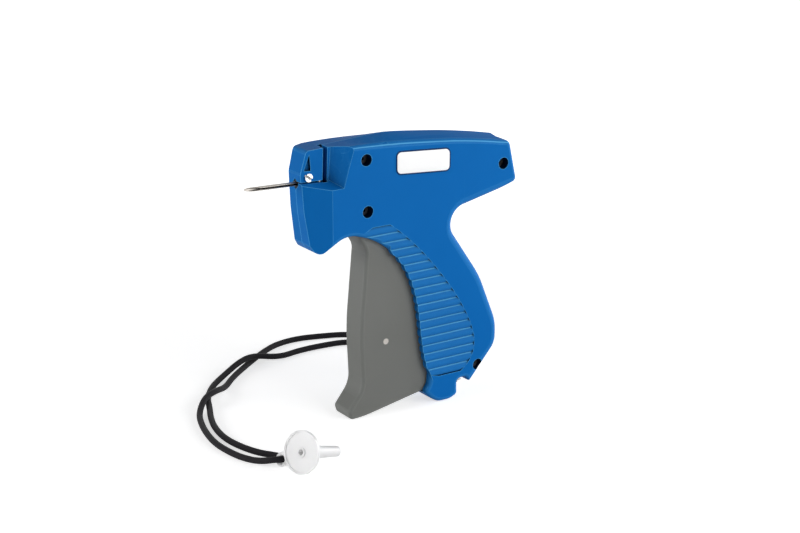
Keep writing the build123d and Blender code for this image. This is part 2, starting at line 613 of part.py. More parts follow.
def nose_cuts():
    """Holes and slots round the needle, through both halves."""
    side = math.sqrt(2) * PORT_HALF
    port = Rot(0, 90, 0) * Rot(0, 0, 45) * Box(side, side, 2 * NOSE_BLOCK_HALF)
    lock_x, lock_z = from_bore(*LOCK_PLACE)
    base_y = (-BASE_LEFT - FIT, BASE_RIGHT + FIT)
    base_z = (-BASE_HALF_HEIGHT - FIT, BASE_HALF_HEIGHT + FIT)
    slot_y = (-RECESS_FLOOR - PAST, FEED_SLOT_RIGHT)
    return [
        BORE * Pos(-NOSE_BLOCK_HALF, 0, 0) * port,
        BORE * brick((-FIT, BASE_LENGTH), base_y, base_z),
        BORE * brick((FEED_SLOT_START, FEED_SLOT_END), slot_y, (FEED_SLOT_BOTTOM, NOSE_TOP)),
        along_bore((-PAST, GUIDE_END + PAST), ROD_RADIUS + ROD_GAP),
        BORE * brick((KNIFE_START - FIT, KNIFE_START + KNIFE_THICKNESS + FIT),
                     (KNIFE_Y[0] - FIT, KNIFE_Y[1] + FIT), (KNIFE_HEIGHT[0] - FIT, KNIFE_HEIGHT[1] + FIT)),
        crossbar(lock_x, lock_z, LOCK_SHAFT_RADIUS + RUN, -RECESS_FLOOR - PAST, LOCK_SHAFT_END + END_GAP),
        across(polygon(*TRIANGLE_SLOT), -HALF_WIDTH, TRIANGLE_DEPTH - RECESS_FLOOR),
    ]


def pin_holes():
    return [
        Pos(0, 0, LANYARD_Z) * lengthwise((LANYARD_X[0] - FIT, LANYARD_X[1] + FIT), LANYARD_PIN_RADIUS + FIT),
        crossbar(GEAR_X, GEAR_Z, AXLE_RADIUS + FIT, -AXLE_END - FIT, AXLE_END + FIT),
        crossbar(PIVOT_X, PIVOT_Z, PIVOT_PIN_RADIUS + FIT, -LUG_HALF - PAST, LUG_HALF + PAST),
    ]


def left_half(block, room):
    half = block - room - mouth()
    half += [stand & block for stand in stands() + inside_left()]
    half = cut(half, [mouth(), recess(0), nose_core()] + nose_cuts() + pin_holes())
    half -= BORE * brick((-NOSE_BLOCK_HALF, FEED_SLOT_END), (-HALF_WIDTH, 0), SLIT_HEIGHT)
    for x, z in SCREW_PLACES:
        half -= crossbar(x, z, COUNTERBORE_RADIUS, -HALF_WIDTH - PAST, COUNTERBORE_DEPTH - HALF_WIDTH)
        half -= crossbar(x, z, SCREW_SHANK_RADIUS + SCREW_CLEARANCE, -HALF_WIDTH, PAST)
    return half


def right_half(block, room):
    core = ((block - room) + [stand & block for stand in [nose_block()] + inside_left()]) & nose_core()
    core -= recess(0)
    block, room = mirror(block, Plane.XZ), mirror(room_right(), Plane.XZ)
    half = block - room - mouth()
    half += [mirror(stand, Plane.XZ) & block for stand in stands()]
    half += [stand & block for stand in inside_right()]
    half += core
    half = cut(half, [mouth()] + nose_cuts() + pin_holes())
    screw_end = SCREW_LENGTH + COUNTERBORE_DEPTH - HALF_WIDTH
    for x, z in SCREW_PLACES:
        half -= crossbar(x, z, SCREW_SHANK_RADIUS + FIT, -PAST, screw_end + END_GAP)
    tip = RACK_PITCH_LINE - ADDENDUM * MODULE
    half -= BORE * brick((RACK_FRONT - STROKE - PAST, NOSE_BLOCK_END + PAST),
                         (RACK_LEFT - RACK_RELIEF, RACK_RIGHT + RACK_RELIEF),
                         (tip - RACK_RELIEF, SLIDE_BOTTOM + RACK_RELIEF))
    half -= along_bore(FEED_AXLE_X, FEED_AXLE_RADIUS + FIT, FEED_WHEEL_Y, FEED_WHEEL_RISE)
    half -= crossbar(*from_bore(*LEVER_PIVOT), LEVER_PIN_RADIUS + FIT, LEVER_Y[0], LEVER_PIN_END + FIT)
    return half


def room_right():
    """The right half has no recess, so its room is not narrowed by one."""
    return across(inner_face(), -INNER, 0) - nose_taper(WALL)


# ------------------------------------------------------------------ trigger
def on_trigger_top(x):
    """A point of the trigger's round top."""
    return x, PIVOT_Z + math.sqrt(TRIGGER_TOP_RADIUS ** 2 - (x - PIVOT_X) ** 2)


def trigger_face():
    start, end = [on_trigger_top(x) for x in TRIGGER_TOP_X]
    top = ThreePointArc(end, on_trigger_top((start[0] + end[0]) / 2), start)
    flare = Line(start, TRIGGER_FRONT[0][0])
    sole = Line(TRIGGER_FRONT[-1][0], TRIGGER_REAR[0][0])
    rear = rounded_line(TRIGGER_REAR + [(end, 0)])
    lines = [flare, rounded_line(TRIGGER_FRONT), sole, rear, top]
    return make_face(Curve() + lines) + Pos(PIVOT_X, PIVOT_Z) * Circle(KNUCKLE_RADIUS)


def is_front(point):
    """Whether a point of the trigger's rim lies on its front or its underside."""
    before = point.Z < on_trigger_top(TRIGGER_TOP_X[0])[1] and point.X < TRIGGER_FRONT[1][0][0]
    return before or point.Z < PIVOT_Z - KNUCKLE_RADIUS


def trigger():
    """The trigger's channel of two walls and a front, with the toothed sector on its cap."""
    face = trigger_face()
    body = across(face, -TRIGGER_HALF, TRIGGER_HALF)
    rim = [edge for edge in body.edges() if abs(abs(edge.center().Y) - TRIGGER_HALF) < FIT]
    front = [edge for edge in rim if is_front(edge.center())]
    body = fillet(front, TRIGGER_EDGE)
    floor = PIVOT_Z + TRIGGER_WALL - KNUCKLE_RADIUS
    behind = Rectangle(3 * PIVOT_X, HEIGHT, align=(Align.CENTER, Align.MIN))
    rear = Pos(2 * PIVOT_X, floor) * behind
    cap = Pos(PIVOT_X, PIVOT_Z) * Circle(TRIGGER_TOP_RADIUS - TRIGGER_CAP)
    inside = ((Pos(TRIGGER_WALL, TRIGGER_WALL) * face) + rear) & cap
    inner = TRIGGER_HALF - TRIGGER_WALL
    body -= across(inside, -inner, inner)
    body += across(sector_face(), SECTOR_LEFT, SECTOR_RIGHT)
    body -= crossbar(PIVOT_X, PIVOT_Z, PIVOT_PIN_RADIUS + RUN, -PIVOT_PIN_HALF - RUN, PIVOT_PIN_HALF + RUN)
    body -= crossbar(SPRING_PIN_X, SPRING_PIN_Z, SPRING_PIN_RADIUS + FIT, -HALF_WIDTH, HALF_WIDTH)
    return body


def spring_guide():
    """The rod on the trigger's pin that keeps the return spring straight."""
    hub = crossbar(0, 0, SPRING_PIN_RADIUS + TRIGGER_WALL, -GUIDE_HUB_HALF, GUIDE_HUB_HALF)
    rod = lengthwise((0, GUIDE_LENGTH), GUIDE_RADIUS)
    disc = lengthwise((SHOULDER_END - SHOULDER_THICKNESS, SHOULDER_END), SHOULDER_RADIUS)
    body = hub + rod + disc - crossbar(0, 0, SPRING_PIN_RADIUS + RUN, -SHOULDER_RADIUS, SHOULDER_RADIUS)
    tip = body.faces().sort_by(Axis.X)[-1].edges()
    return Pos(SPRING_PIN_X, 0, SPRING_PIN_Z) * chamfer(tip, GUIDE_RADIUS / 3)


def return_spring():
    """A compression spring from the guide's shoulder to the rib in the handle."""
    start = SPRING_PIN_X + SHOULDER_END + SPRING_WIRE_RADIUS + FIT
    length = SPRING_SEAT_X - SPRING_WIRE_RADIUS - FIT - start
    coil = Helix(pitch=length / SPRING_TURNS, height=length, radius=SPRING_RADIUS)
    wire = sweep(Plane(origin=coil @ 0, z_dir=coil % 0) * Circle(SPRING_WIRE_RADIUS), path=coil)
    return Pos(start, 0, SPRING_PIN_Z) * Rot(0, 90, 0) * wire


# ------------------------------------------------------------------ gear train and slide
def drive_gear():
    down = 270 + MESH_ANGLE
    pinion = across(spur_wheel(PINION_TEETH, down), PINION_LEFT, WHEEL_LEFT)
    wheel = across(spur_wheel(WHEEL_TEETH, 90 - BORE_PITCH), WHEEL_LEFT, WHEEL_RIGHT)
    gear = Pos(GEAR_X, 0, GEAR_Z) * (pinion + wheel)
    return gear - crossbar(GEAR_X, GEAR_Z, AXLE_RADIUS + RUN, PINION_LEFT - PAST, WHEEL_RIGHT + PAST)


def rack_face():
    """The side of the rack in the bore's frame, with a gap between teeth above the wheel."""
    pitch = math.pi * MODULE
    flank = math.tan(math.radians(PRESSURE_ANGLE))
    half = (pitch - BACKLASH) / 4
    root = RACK_PITCH_LINE + DEDENDUM * MODULE
    tip = RACK_PITCH_LINE - ADDENDUM * MODULE
    face = polygon((RACK_FRONT, root), (SLIDE_REAR, root), (SLIDE_REAR, SLIDE_TOP),
                   (SLIDE_FRONT, SLIDE_TOP), (SLIDE_FRONT, SLIDE_BOTTOM), (RACK_FRONT, SLIDE_BOTTOM))
    at_root = half + flank * (root - RACK_PITCH_LINE)
    at_tip = half - flank * (RACK_PITCH_LINE - tip)
    count = int((SLIDE_REAR - GEAR_ALONG) / pitch)
    teeth = []
    for k in range(-1, count):
        x = GEAR_ALONG + pitch * (k + 0.5)
        left, right = (x - at_root, root), (x + at_root, root)
        teeth.append(polygon(left, (x - at_tip, tip), (x + at_tip, tip), right))
    return face + teeth


def slide():
    """The rack and the carriage that drives the push rod."""
    body = across(rack_face(), RACK_LEFT, RACK_RIGHT)
    body += brick((SLIDE_FRONT, SLIDE_REAR), (SLIDE_LEFT, RACK_RIGHT), (SLIDE_BOTTOM, SLIDE_TOP))
    body += brick((WIDE_FRONT, SLIDE_REAR), (-WIDE_HALF, WIDE_HALF), (SLIDE_BOTTOM, SLIDE_TOP))
    body += brick((WIDE_FRONT, RUNNER_REAR), (-RUNNER_HALF, RUNNER_HALF), RUNNER_Z)
    body += brick(ROD_BOSS, (-ROD_BOSS_HALF, ROD_BOSS_HALF), (-ROD_BOSS_HALF, SLIDE_BOTTOM))
    body -= brick((WIDE_FRONT + 2 * WALL, SLIDE_REAR - 2 * WALL), (-WIDE_HALF + WALL, RACK_LEFT - WALL),
                  (SLIDE_BOTTOM - PAST, SLIDE_TOP - SLIDE_SKIN))
    return BORE * (body - lengthwise((ROD_BOSS[0], ROD_END), ROD_RADIUS + FIT))


def push_rod():
    return along_bore((FEED_SLOT_END + ROD_GAP, ROD_END - FIT), ROD_RADIUS)


# ------------------------------------------------------------------ needle and its holder
def needle():
    """A slotted tube with a thicker root, cut to a long bevel that leaves its point on the right."""
    tip = -NEEDLE_LENGTH
    tube = lengthwise((tip, BASE_LENGTH), NEEDLE_RADIUS)
    tube += lengthwise((-NEEDLE_ROOT, BASE_LENGTH), NEEDLE_ROOT_RADIUS)
    tube -= lengthwise((tip - PAST, BASE_LENGTH + PAST), NEEDLE_BORE_RADIUS)
    slot = (-NEEDLE_SLOT / 2, NEEDLE_SLOT / 2)
    tube -= brick((tip - PAST, BASE_LENGTH + PAST), (-NEEDLE_ROOT_RADIUS - PAST, 0), slot)
    left = -NEEDLE_RADIUS - PAST
    bevel = polygon((tip - PAST, NEEDLE_RADIUS), (tip, NEEDLE_RADIUS * POINT_SHARE),
                    (tip + NEEDLE_BEVEL, -NEEDLE_RADIUS), (tip + NEEDLE_BEVEL, left), (tip - PAST, left))
    return BORE * (tube - Pos(0, 0, -2 * NEEDLE_RADIUS) * extrude(bevel, 4 * NEEDLE_RADIUS))


def needle_base():
    base = brick((0, BASE_LENGTH), (-BASE_LEFT, BASE_RIGHT), (-BASE_HALF_HEIGHT, BASE_HALF_HEIGHT))
    base -= lengthwise((-PAST, BASE_LENGTH + PAST), NEEDLE_ROOT_RADIUS + FIT)
    slot = (-NEEDLE_SLOT / 2, NEEDLE_SLOT / 2)
    return BORE * (base - brick((-PAST, BASE_LENGTH + PAST), (-BASE_LEFT - PAST, 0), slot))


def needle_lock():
    """The slotted screw that clamps the needle's base."""
    x, z = from_bore(*LOCK_PLACE)
    stem = crossbar(x, z, LOCK_SHAFT_RADIUS, -RECESS_FLOOR, LOCK_SHAFT_END)
    head = crossbar(x, z, LOCK_HEAD_RADIUS, -RECESS_FLOOR - LOCK_HEAD_HEIGHT, -RECESS_FLOOR)
    face = -RECESS_FLOOR - LOCK_HEAD_HEIGHT
    reach = LOCK_HEAD_RADIUS + PAST
    slot = brick((-reach, reach), (face - PAST, face + LOCK_SLOT), (-LOCK_SLOT / 2, LOCK_SLOT / 2))
    return stem + head - Pos(x, 0, z) * Rot(0, -LOCK_TURN, 0) * slot


def knife():
    start, end = KNIFE_START, KNIFE_START + KNIFE_THICKNESS
    return BORE * brick((start, end), KNIFE_Y, KNIFE_HEIGHT)


# ------------------------------------------------------------------ fastener feed
def feed_wheel():
    """A star wheel across the feed slot, whose axis runs along the bore."""
    step = 360 / FEED_WHEEL_TEETH
    upper = [(0, FEED_TOOTH / 2), (FEED_WHEEL_ROOT, FEED_TOOTH / 2), (FEED_WHEEL_RADIUS, FEED_TIP / 2)]
    point = polygon(*upper, *[(x, -y) for x, y in reversed(upper)])
    star = Circle(FEED_WHEEL_ROOT) + [Rot(0, 0, step * (k + 0.5)) * point for k in range(FEED_WHEEL_TEETH)]
    star -= Circle(FEED_AXLE_RADIUS + RUN)
    start, end = FEED_WHEEL_X
    disc = Plane.YZ * star
    return BORE * Pos(start, FEED_WHEEL_Y, FEED_WHEEL_RISE) * extrude(disc, end - start)


def index_lever():
    """The pawl that lifts the feed wheel's teeth on the right by one step."""
    along, above = LEVER_PIVOT
    arm_left, arm_right = LEVER_Y
    body = across(Pos(along, above) * Circle(LEVER_HUB_RADIUS), arm_left, arm_right)
    half = LEVER_HUB_RADIUS * math.cos(math.radians(LEVER_TAPER))
    shift = LEVER_HUB_RADIUS * math.sin(math.radians(LEVER_TAPER))
    arm = polygon((along - shift, above + half), (along + shift, above - half), (FINGER[1], FINGER_Z[0]),
                  (FINGER[0], FINGER_Z[0]), (FINGER[0], FINGER_Z[1]), (FINGER[1], FINGER_Z[1] + LEVER_HEEL))
    body += across(arm, arm_left, arm_right)
    body += brick(FINGER, (FINGER_Y, arm_right), FINGER_Z)
    body -= across(Pos(along, above) * Circle(LEVER_PIN_RADIUS + RUN), arm_left - PAST, arm_right + PAST)
    return BORE * body


def index_lever_pin():
    x, z = from_bore(*LEVER_PIVOT)
    seat = LEVER_Y[0] - END_GAP
    head = crossbar(x, z, LEVER_HEAD_RADIUS, seat - LEVER_HEAD_HEIGHT, seat)
    return head + crossbar(x, z, LEVER_PIN_RADIUS, seat, LEVER_PIN_END)


def backstop_leaf():
    """A flat spring on the right wall whose bent end keeps the feed wheel from turning back."""
    low, high = LEAF_ROOT
    t = LEAF_THICKNESS
    y, z = LEAF_TIP
    strip = Plane.YZ * polygon((LEAF_SEAT, high), (LEAF_SEAT - t, high), (LEAF_SEAT - t, low + t),
                               (y, z + t), (y, z), (LEAF_SEAT, low))
    start, end = FEED_WHEEL_X
    return BORE * Pos(start, 0, 0) * extrude(strip, end - start)


# ------------------------------------------------------------------ pins and screws
def trigger_pivot_pin():
    return crossbar(PIVOT_X, PIVOT_Z, PIVOT_PIN_RADIUS, -PIVOT_PIN_HALF, PIVOT_PIN_HALF)


def spring_pin():
    return crossbar(SPRING_PIN_X, SPRING_PIN_Z, SPRING_PIN_RADIUS, -TRIGGER_HALF, TRIGGER_HALF)


def gear_axle():
    return crossbar(GEAR_X, GEAR_Z, AXLE_RADIUS, -AXLE_END, AXLE_END)


def feed_wheel_axle():
    return along_bore(FEED_AXLE_X, FEED_AXLE_RADIUS, FEED_WHEEL_Y, FEED_WHEEL_RISE)


def screw(x, z):
    """One pan-head screw with a six-sided driver recess."""
    seat = COUNTERBORE_DEPTH - HALF_WIDTH
    head = crossbar(x, z, SCREW_HEAD_RADIUS, seat - SCREW_HEAD_HEIGHT, seat)
    shank = crossbar(x, z, SCREW_SHANK_RADIUS, seat, seat + SCREW_LENGTH)
    top = seat - SCREW_HEAD_HEIGHT
    drive = across(Pos(x, z) * RegularPolygon(DRIVE_RADIUS, 6), top - PAST, top + DRIVE_DEPTH)
    return head + shank - drive


def lanyard_pin():
    return Pos(0, 0, LANYARD_Z) * lengthwise(LANYARD_X, LANYARD_PIN_RADIUS)


def cord_crimp():
    """The pressed sleeve that closes the cord's two ends round the pin."""
    z = (LANYARD_Z - CRIMP_HALF_HEIGHT, LANYARD_Z + CRIMP_HALF_HEIGHT)
    sleeve = brick(CRIMP_X, CRIMP_Y, z)
    sleeve = fillet(sleeve.edges().filter_by(Axis.X), CRIMP_HALF_HEIGHT / 2)
    return sleeve - Pos(0, 0, LANYARD_Z) * lengthwise(LANYARD_X, LANYARD_PIN_RADIUS + FIT)


# ------------------------------------------------------------------ needle cap and cord
def cap_frame():
    """The plane of the cap's flange, whose Z axis points out of its front."""
    drop = CAP_FLANGE_RADIUS - CAP_END_RADIUS
    tilt = math.atan(drop / (CAP_LENGTH - CAP_FLANGE_THICKNESS))
    yaw = math.radians(CAP_YAW)
    height = CAP_FLANGE_RADIUS * math.cos(tilt) + CAP_FLANGE_THICKNESS * math.sin(tilt)
    outwards = (-math.cos(yaw) * math.cos(tilt), -math.sin(yaw) * math.cos(tilt), math.sin(tilt))
    level = (-math.sin(yaw), math.cos(yaw), 0)
    return Plane(origin=(*CAP_PLACE, height), x_dir=level, z_dir=outwards)


def eye_place(frame):
    """The middle of the lug's eye on the flange, on its lower side."""
    angle = math.radians(LUG_EYE_ANGLE)
    down = -1 if frame.y_dir.Z > 0 else 1
    return LUG_EYE_DISTANCE * math.cos(angle), LUG_EYE_DISTANCE * math.sin(angle) * down


def needle_cap():
    """The soft cap for the needle, which lies on the floor at the end of the cord."""
    frame = cap_frame()
    x, y = eye_place(frame)
    disc = Pos(0, 0, -CAP_FLANGE_THICKNESS / 2) * Cylinder(CAP_FLANGE_RADIUS, CAP_FLANGE_THICKNESS)
    tube = Pos(0, 0, -CAP_LENGTH / 2) * Cone(CAP_END_RADIUS, CAP_TUBE_RADIUS, CAP_LENGTH)
    rim = Circle(CAP_FLANGE_RADIUS) - Circle(CAP_FLANGE_RADIUS - CAP_RIM_WIDTH) + Circle(CAP_HUB_RADIUS)
    outer = LUG_EYE_RADIUS + LUG_EYE_WALL
    neck = Pos(LUG_EYE_DISTANCE / 2, 0) * Rectangle(LUG_EYE_DISTANCE, 2 * outer)
    neck = Rot(0, 0, math.degrees(math.atan2(y, x))) * neck
    ear = (Pos(x, y) * Circle(outer) + neck) - Circle(CAP_TUBE_RADIUS) - Pos(x, y) * Circle(LUG_EYE_RADIUS)
    body = disc + tube + extrude(rim, CAP_RIM_HEIGHT)
    body += Pos(0, 0, -LUG_EYE_THICKNESS) * extrude(ear, LUG_EYE_THICKNESS)
    bore = CAP_BORE_DEPTH + CAP_RIM_HEIGHT
    body -= Pos(0, 0, CAP_RIM_HEIGHT - bore / 2) * Cylinder(CAP_BORE_RADIUS, bore)
    return frame.location * body


def laid(places):
    """Points of the cord from their places on the floor and their layers."""
    layer_height = 2 * CORD_RADIUS + LAYER_GAP
    return [Vector(x, y, CORD_RADIUS + layer * layer_height) for x, y, layer in places]


def cord_points():
    """The cord's way from the crimp through the cap's eye and back to the crimp."""
    frame = cap_frame()
    x, y = eye_place(frame)
    eye = frame.origin + frame.x_dir * x + frame.y_dir * y - frame.z_dir * LUG_EYE_THICKNESS / 2
    fold = [eye + frame.z_dir * EYE_RUN, eye - frame.z_dir * EYE_RUN]
    ends = [[Vector(x, CRIMP_Y[1] + lead, LANYARD_Z) for lead in (0, STRAND_LEAD)] for x in STRAND_X]
    return ends[0] + laid(CORD_OUT) + fold + laid(CORD_BACK) + ends[1][::-1]


def wrist_cord():
    """One thin cord from the crimp to the cap's eye and back, as straight runs joined by arcs."""
    points = cord_points()
    radii = []
    for before, corner, after in zip(points, points[1:], points[2:]):
        arrive, leave = corner - before, after - corner
        turn = math.radians(arrive.get_angle(leave))
        radii.append(ARC_SHARE * min(arrive.length, leave.length) / math.tan(turn / 2))
    path = FilletPolyline(*points, radius=radii)
    print("cord radii", [round(r, 1) for r in radii], "length", round(path.length, 1))
    cord = sweep(Plane(origin=path @ 0, z_dir=path % 0) * Circle(CORD_RADIUS), path=path)
    print("cord volume ratio", round(cord.volume / (math.pi * CORD_RADIUS ** 2 * path.length), 4))
    return cord


# ------------------------------------------------------------------ all nodes
def build():
    block = outer_half()
    room = hollow()
    yield "left_housing", left_half(block, room)
    yield "right_housing", right_half(block, room)
    yield "housing_screws", Compound([screw(x, z) for x, z in SCREW_PLACES])
    makers = [trigger, trigger_pivot_pin, spring_pin, spring_guide, return_spring, drive_gear,
              gear_axle, slide, push_rod, needle, needle_base, needle_lock, knife, feed_wheel,
              feed_wheel_axle, index_lever, index_lever_pin, backstop_leaf, lanyard_pin,
              cord_crimp, wrist_cord, needle_cap]
    for maker in makers:
        yield maker.__name__, maker()


os.makedirs("parts", exist_ok=True)
for name, shape in build():
    export_step(shape, f"parts/{name}.step")
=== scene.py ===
# %% [markdown]
# # A garment tag attacher
#
# A shop assistant squeezes the long grey trigger, and the tool pushes a plastic fastener through
# its hollow needle. The moulded halves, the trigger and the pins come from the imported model, which
# already has their true shapes, so this lesson gives them their finishes and adds what a solid
# model leaves out: the arc of the barrel's top, the lock screw as it was last turned, the braid of
# the wrist cord, the plate on the side, a studio floor and its light.

# %% Load the model
import bmesh
import bpy
import json
import math
import numpy as np
from mathutils import Matrix, Vector


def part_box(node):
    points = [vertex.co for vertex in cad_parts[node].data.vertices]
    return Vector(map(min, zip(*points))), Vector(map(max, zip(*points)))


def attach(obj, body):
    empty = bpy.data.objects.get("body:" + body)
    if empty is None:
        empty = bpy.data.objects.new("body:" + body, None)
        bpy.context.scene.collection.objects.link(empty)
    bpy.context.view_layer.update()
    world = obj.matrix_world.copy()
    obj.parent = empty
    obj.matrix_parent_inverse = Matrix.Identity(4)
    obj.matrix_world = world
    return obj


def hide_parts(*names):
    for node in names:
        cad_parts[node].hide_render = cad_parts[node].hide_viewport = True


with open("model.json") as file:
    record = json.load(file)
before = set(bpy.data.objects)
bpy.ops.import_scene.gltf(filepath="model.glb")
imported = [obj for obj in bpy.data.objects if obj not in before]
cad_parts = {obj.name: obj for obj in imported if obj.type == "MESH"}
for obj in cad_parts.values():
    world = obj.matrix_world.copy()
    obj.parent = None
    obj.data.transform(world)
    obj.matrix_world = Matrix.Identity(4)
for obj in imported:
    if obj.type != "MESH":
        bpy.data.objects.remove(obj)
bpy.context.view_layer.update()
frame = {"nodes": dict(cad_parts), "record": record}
MM = 0.001

# %% [markdown]
# ## The camera
#
# The view looks down a little on the tool's left side, with the needle towards the viewer. A long
# lens from a metre away keeps the upright edges nearly parallel, as in a product shot. The camera
# is aimed by two angles and a distance, so it can be turned round the tool without guesswork.

# %% Camera
CAMERA_AZIMUTH = -33.5         # degrees, 0 looks along +Y
CAMERA_HEIGHT = 17.8           # degrees above the horizon
CAMERA_DISTANCE = 1.0
CAMERA_TARGET = Vector((12.0, 0.0, 74.7)) * MM
CAMERA_LENS = 87.75            # for a sensor 36 mm wide


def direction(azimuth, elevation):
    """The unit vector from the object towards a viewer at those angles."""
    a, e = math.radians(azimuth), math.radians(elevation)
    return Vector((math.sin(a) * math.cos(e), -math.cos(a) * math.cos(e), math.sin(e)))


def aim(thing, azimuth, elevation, distance, target):
    """Put a camera or a lamp on a sphere round the target, looking at it."""
    back = direction(azimuth, elevation)
    thing.location = target + back * distance
    thing.rotation_euler = (-back).to_track_quat("-Z", "Y").to_euler()
    bpy.context.scene.collection.objects.link(thing)
    return thing


camera_data = bpy.data.cameras.new("camera")
camera_data.lens = CAMERA_LENS
camera_data.clip_start = 0.01
camera = aim(bpy.data.objects.new("camera", camera_data), CAMERA_AZIMUTH, CAMERA_HEIGHT,
             CAMERA_DISTANCE, CAMERA_TARGET)
bpy.context.scene.camera = camera
print("camera at", [round(v, 3) for v in camera.location])

# %% [markdown]
# ## The wrist cord's route
#
# One thin black cord runs from the crimp at the heel, behind the tool and round to the needle cap,
# through the cap's eye and back beside itself. The two strands cross twice, and at each crossing
# one of them is lifted over the other. A NURBS curve through the listed points gives the smooth
# sag of a limp cord; straight runs with rounded corners would look like bent wire.

# %% Route of the cord
CORD_RADIUS = 1.55             # in mm, like all the sizes of this cell
PIN_HEIGHT = 5.6               # of the strands in the crimp
CRIMP_END = 6.5
STRAND_X = (46.4, 43.2)        # of the outgoing and the returning strand in the crimp
STRAND_LEAD = 8.5              # straight run of each out of the crimp
LAYER_GAP = 0.5                # between a strand and one that it crosses
LOOSE_BULGE = 0.17             # how much the free braid is thicker, all round, than in the crimp
CAP_PLACE = (-77.6, -49.9)     # middle of the cap's flange
CAP_FLANGE_RADIUS = 10.6
CAP_FLANGE_THICKNESS = 1.3
CAP_END_RADIUS = 2.6
CAP_LENGTH = 27.0
CAP_YAW = 18.0                 # degrees
EYE_DISTANCE = 12.9            # from the cap's axis
EYE_ANGLE = 29.0               # degrees below level
EYE_DEPTH = 1.1                # middle of the lug, behind the flange's face
EYE_RUN = 5.0                  # half the run through the eye
# The places of the strands between the crimp and the eye: X, Y and the layer, which is 0 on the
# floor and 1 on top of another strand.
CORD_OUT = [
    (48.6, 28, 0), (53.0, 42, 0), (56.0, 57, 0), (56.5, 73, 0), (52.0, 89, 0), (41.7, 101, 0),
    (27.8, 106.2, 0), (14.4, 110, 0), (0.5, 108.5, 0), (-11.5, 102.2, 0), (-23.5, 93.6, 0),
    (-35.0, 84.9, 0), (-46.5, 75.6, 0), (-56.5, 65.0, 0), (-66.6, 55.8, 1), (-76.6, 50.4, 1),
    (-85.6, 40.0, 0), (-91.2, 26.5, 0), (-95.0, 13, 0), (-97.0, 0.5, 0), (-96.5, -11, 0),
    (-94.6, -21.8, 0), (-90.6, -31.8, 0.18)]
CORD_BACK = [
    (-79.2, -29.6, 0.08), (-84.6, -21.6, 0), (-88.6, -9.4, 0), (-90.0, 4.2, 0), (-87.8, 18.6, 0),
    (-83.0, 32.0, 0), (-77.2, 43.8, 0), (-71.6, 57.0, 0), (-61.8, 70.2, 0), (-49.4, 80.6, 0),
    (-34.7, 87.6, 1), (-24.1, 91, 1), (-9.5, 89.4, 0), (6.0, 92.6, 0), (21.0, 92.3, 0),
    (34.2, 90.4, 0), (44.6, 82.4, 0), (49.8, 70, 0), (50.6, 56, 0), (48.0, 42, 0), (44.2, 28, 0)]


def cap_axes():
    """The middle of the flange's face, and the cap's level, upward and outward directions: the cap
    lies on its flange's rim and its far end, so it tilts by the angle of that line."""
    tilt = math.atan((CAP_FLANGE_RADIUS - CAP_END_RADIUS) / (CAP_LENGTH - CAP_FLANGE_THICKNESS))
    yaw = math.radians(CAP_YAW)
    height = CAP_FLANGE_RADIUS * math.cos(tilt) + CAP_FLANGE_THICKNESS * math.sin(tilt)
    outward = Vector((-math.cos(yaw) * math.cos(tilt), -math.sin(yaw) * math.cos(tilt),
                      math.sin(tilt)))
    level = Vector((-math.sin(yaw), math.cos(yaw), 0))
    return Vector((*CAP_PLACE, height)), level, outward.cross(level), outward


def laid(places):
    """Points of the cord from their places on the floor and their layers."""
    rest, layer_height = CORD_RADIUS + LOOSE_BULGE, 2 * CORD_RADIUS + LAYER_GAP
    return [(x, y, rest + layer * layer_height) for x, y, layer in places]


def route_points():
    """The points of the cord in metres, from the crimp through the cap's eye and back."""
    middle, level, upward, outward = cap_axes()
    side = math.copysign(1, -upward.z)
    angle = math.radians(EYE_ANGLE)
    eye = middle + EYE_DISTANCE * (math.cos(angle) * level + side * math.sin(angle) * upward)
    eye -= EYE_DEPTH * outward
    fold = [eye + EYE_RUN * outward, eye - EYE_RUN * outward]
    ends = [[(x, CRIMP_END + lead, PIN_HEIGHT) for lead in (0, STRAND_LEAD)] for x in STRAND_X]
    points = ends[0] + laid(CORD_OUT) + fold + laid(CORD_BACK) + ends[1][::-1]
    return [Vector(p) * MM for p in points]


def smooth_route(points, resolution):
    """Points along a NURBS curve of order 3 whose control points are the given ones."""
    curve = bpy.data.curves.new("cord_route", "CURVE")
    curve.dimensions = "3D"
    curve.resolution_u = resolution
    spline = curve.splines.new("NURBS")
    spline.points.add(len(points) - 1)
    for point, place in zip(spline.points, points):
        point.co = (*place, 1)
    spline.order_u = 3
    spline.use_endpoint_u = True
    carrier = bpy.data.objects.new("cord_route", curve)
    mesh = bpy.data.meshes.new_from_object(carrier)
    line = np.empty(len(mesh.vertices) * 3)
    mesh.vertices.foreach_get("co", line)
    bpy.data.objects.remove(carrier)
    bpy.data.meshes.remove(mesh)
    bpy.data.curves.remove(curve)
    return line.reshape(-1, 3)


def evenly(line, step):
    """The same line with points a step apart, and the distance of each from the start."""
    along = np.concatenate([[0], np.cumsum(np.linalg.norm(np.diff(line, axis=0), axis=1))])
    places = np.linspace(0, along[-1], int(along[-1] / step) + 1)
    return np.stack([np.interp(places, along, line[:, k]) for k in range(3)], axis=1), places


ROUTE_RESOLUTION = 24
route = smooth_route(route_points(), ROUTE_RESOLUTION)
print("cord length along its curve", round(evenly(route, MM)[1][-1], 4))

# %% [markdown]
# ## Meshes from surfaces
#
# The pieces made from nothing are surfaces: a rule gives a point for each pair of numbers on a
# grid. One helper turns such a grid of points into a mesh, closes it round where it should close,
# and gives it a UV map from the same pair of numbers, so a pattern can follow the surface. All the
# points are worked out as one array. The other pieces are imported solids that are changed, and for
# these the loose triangles of the solid are first joined into one surface.

# %% A mesh from a grid


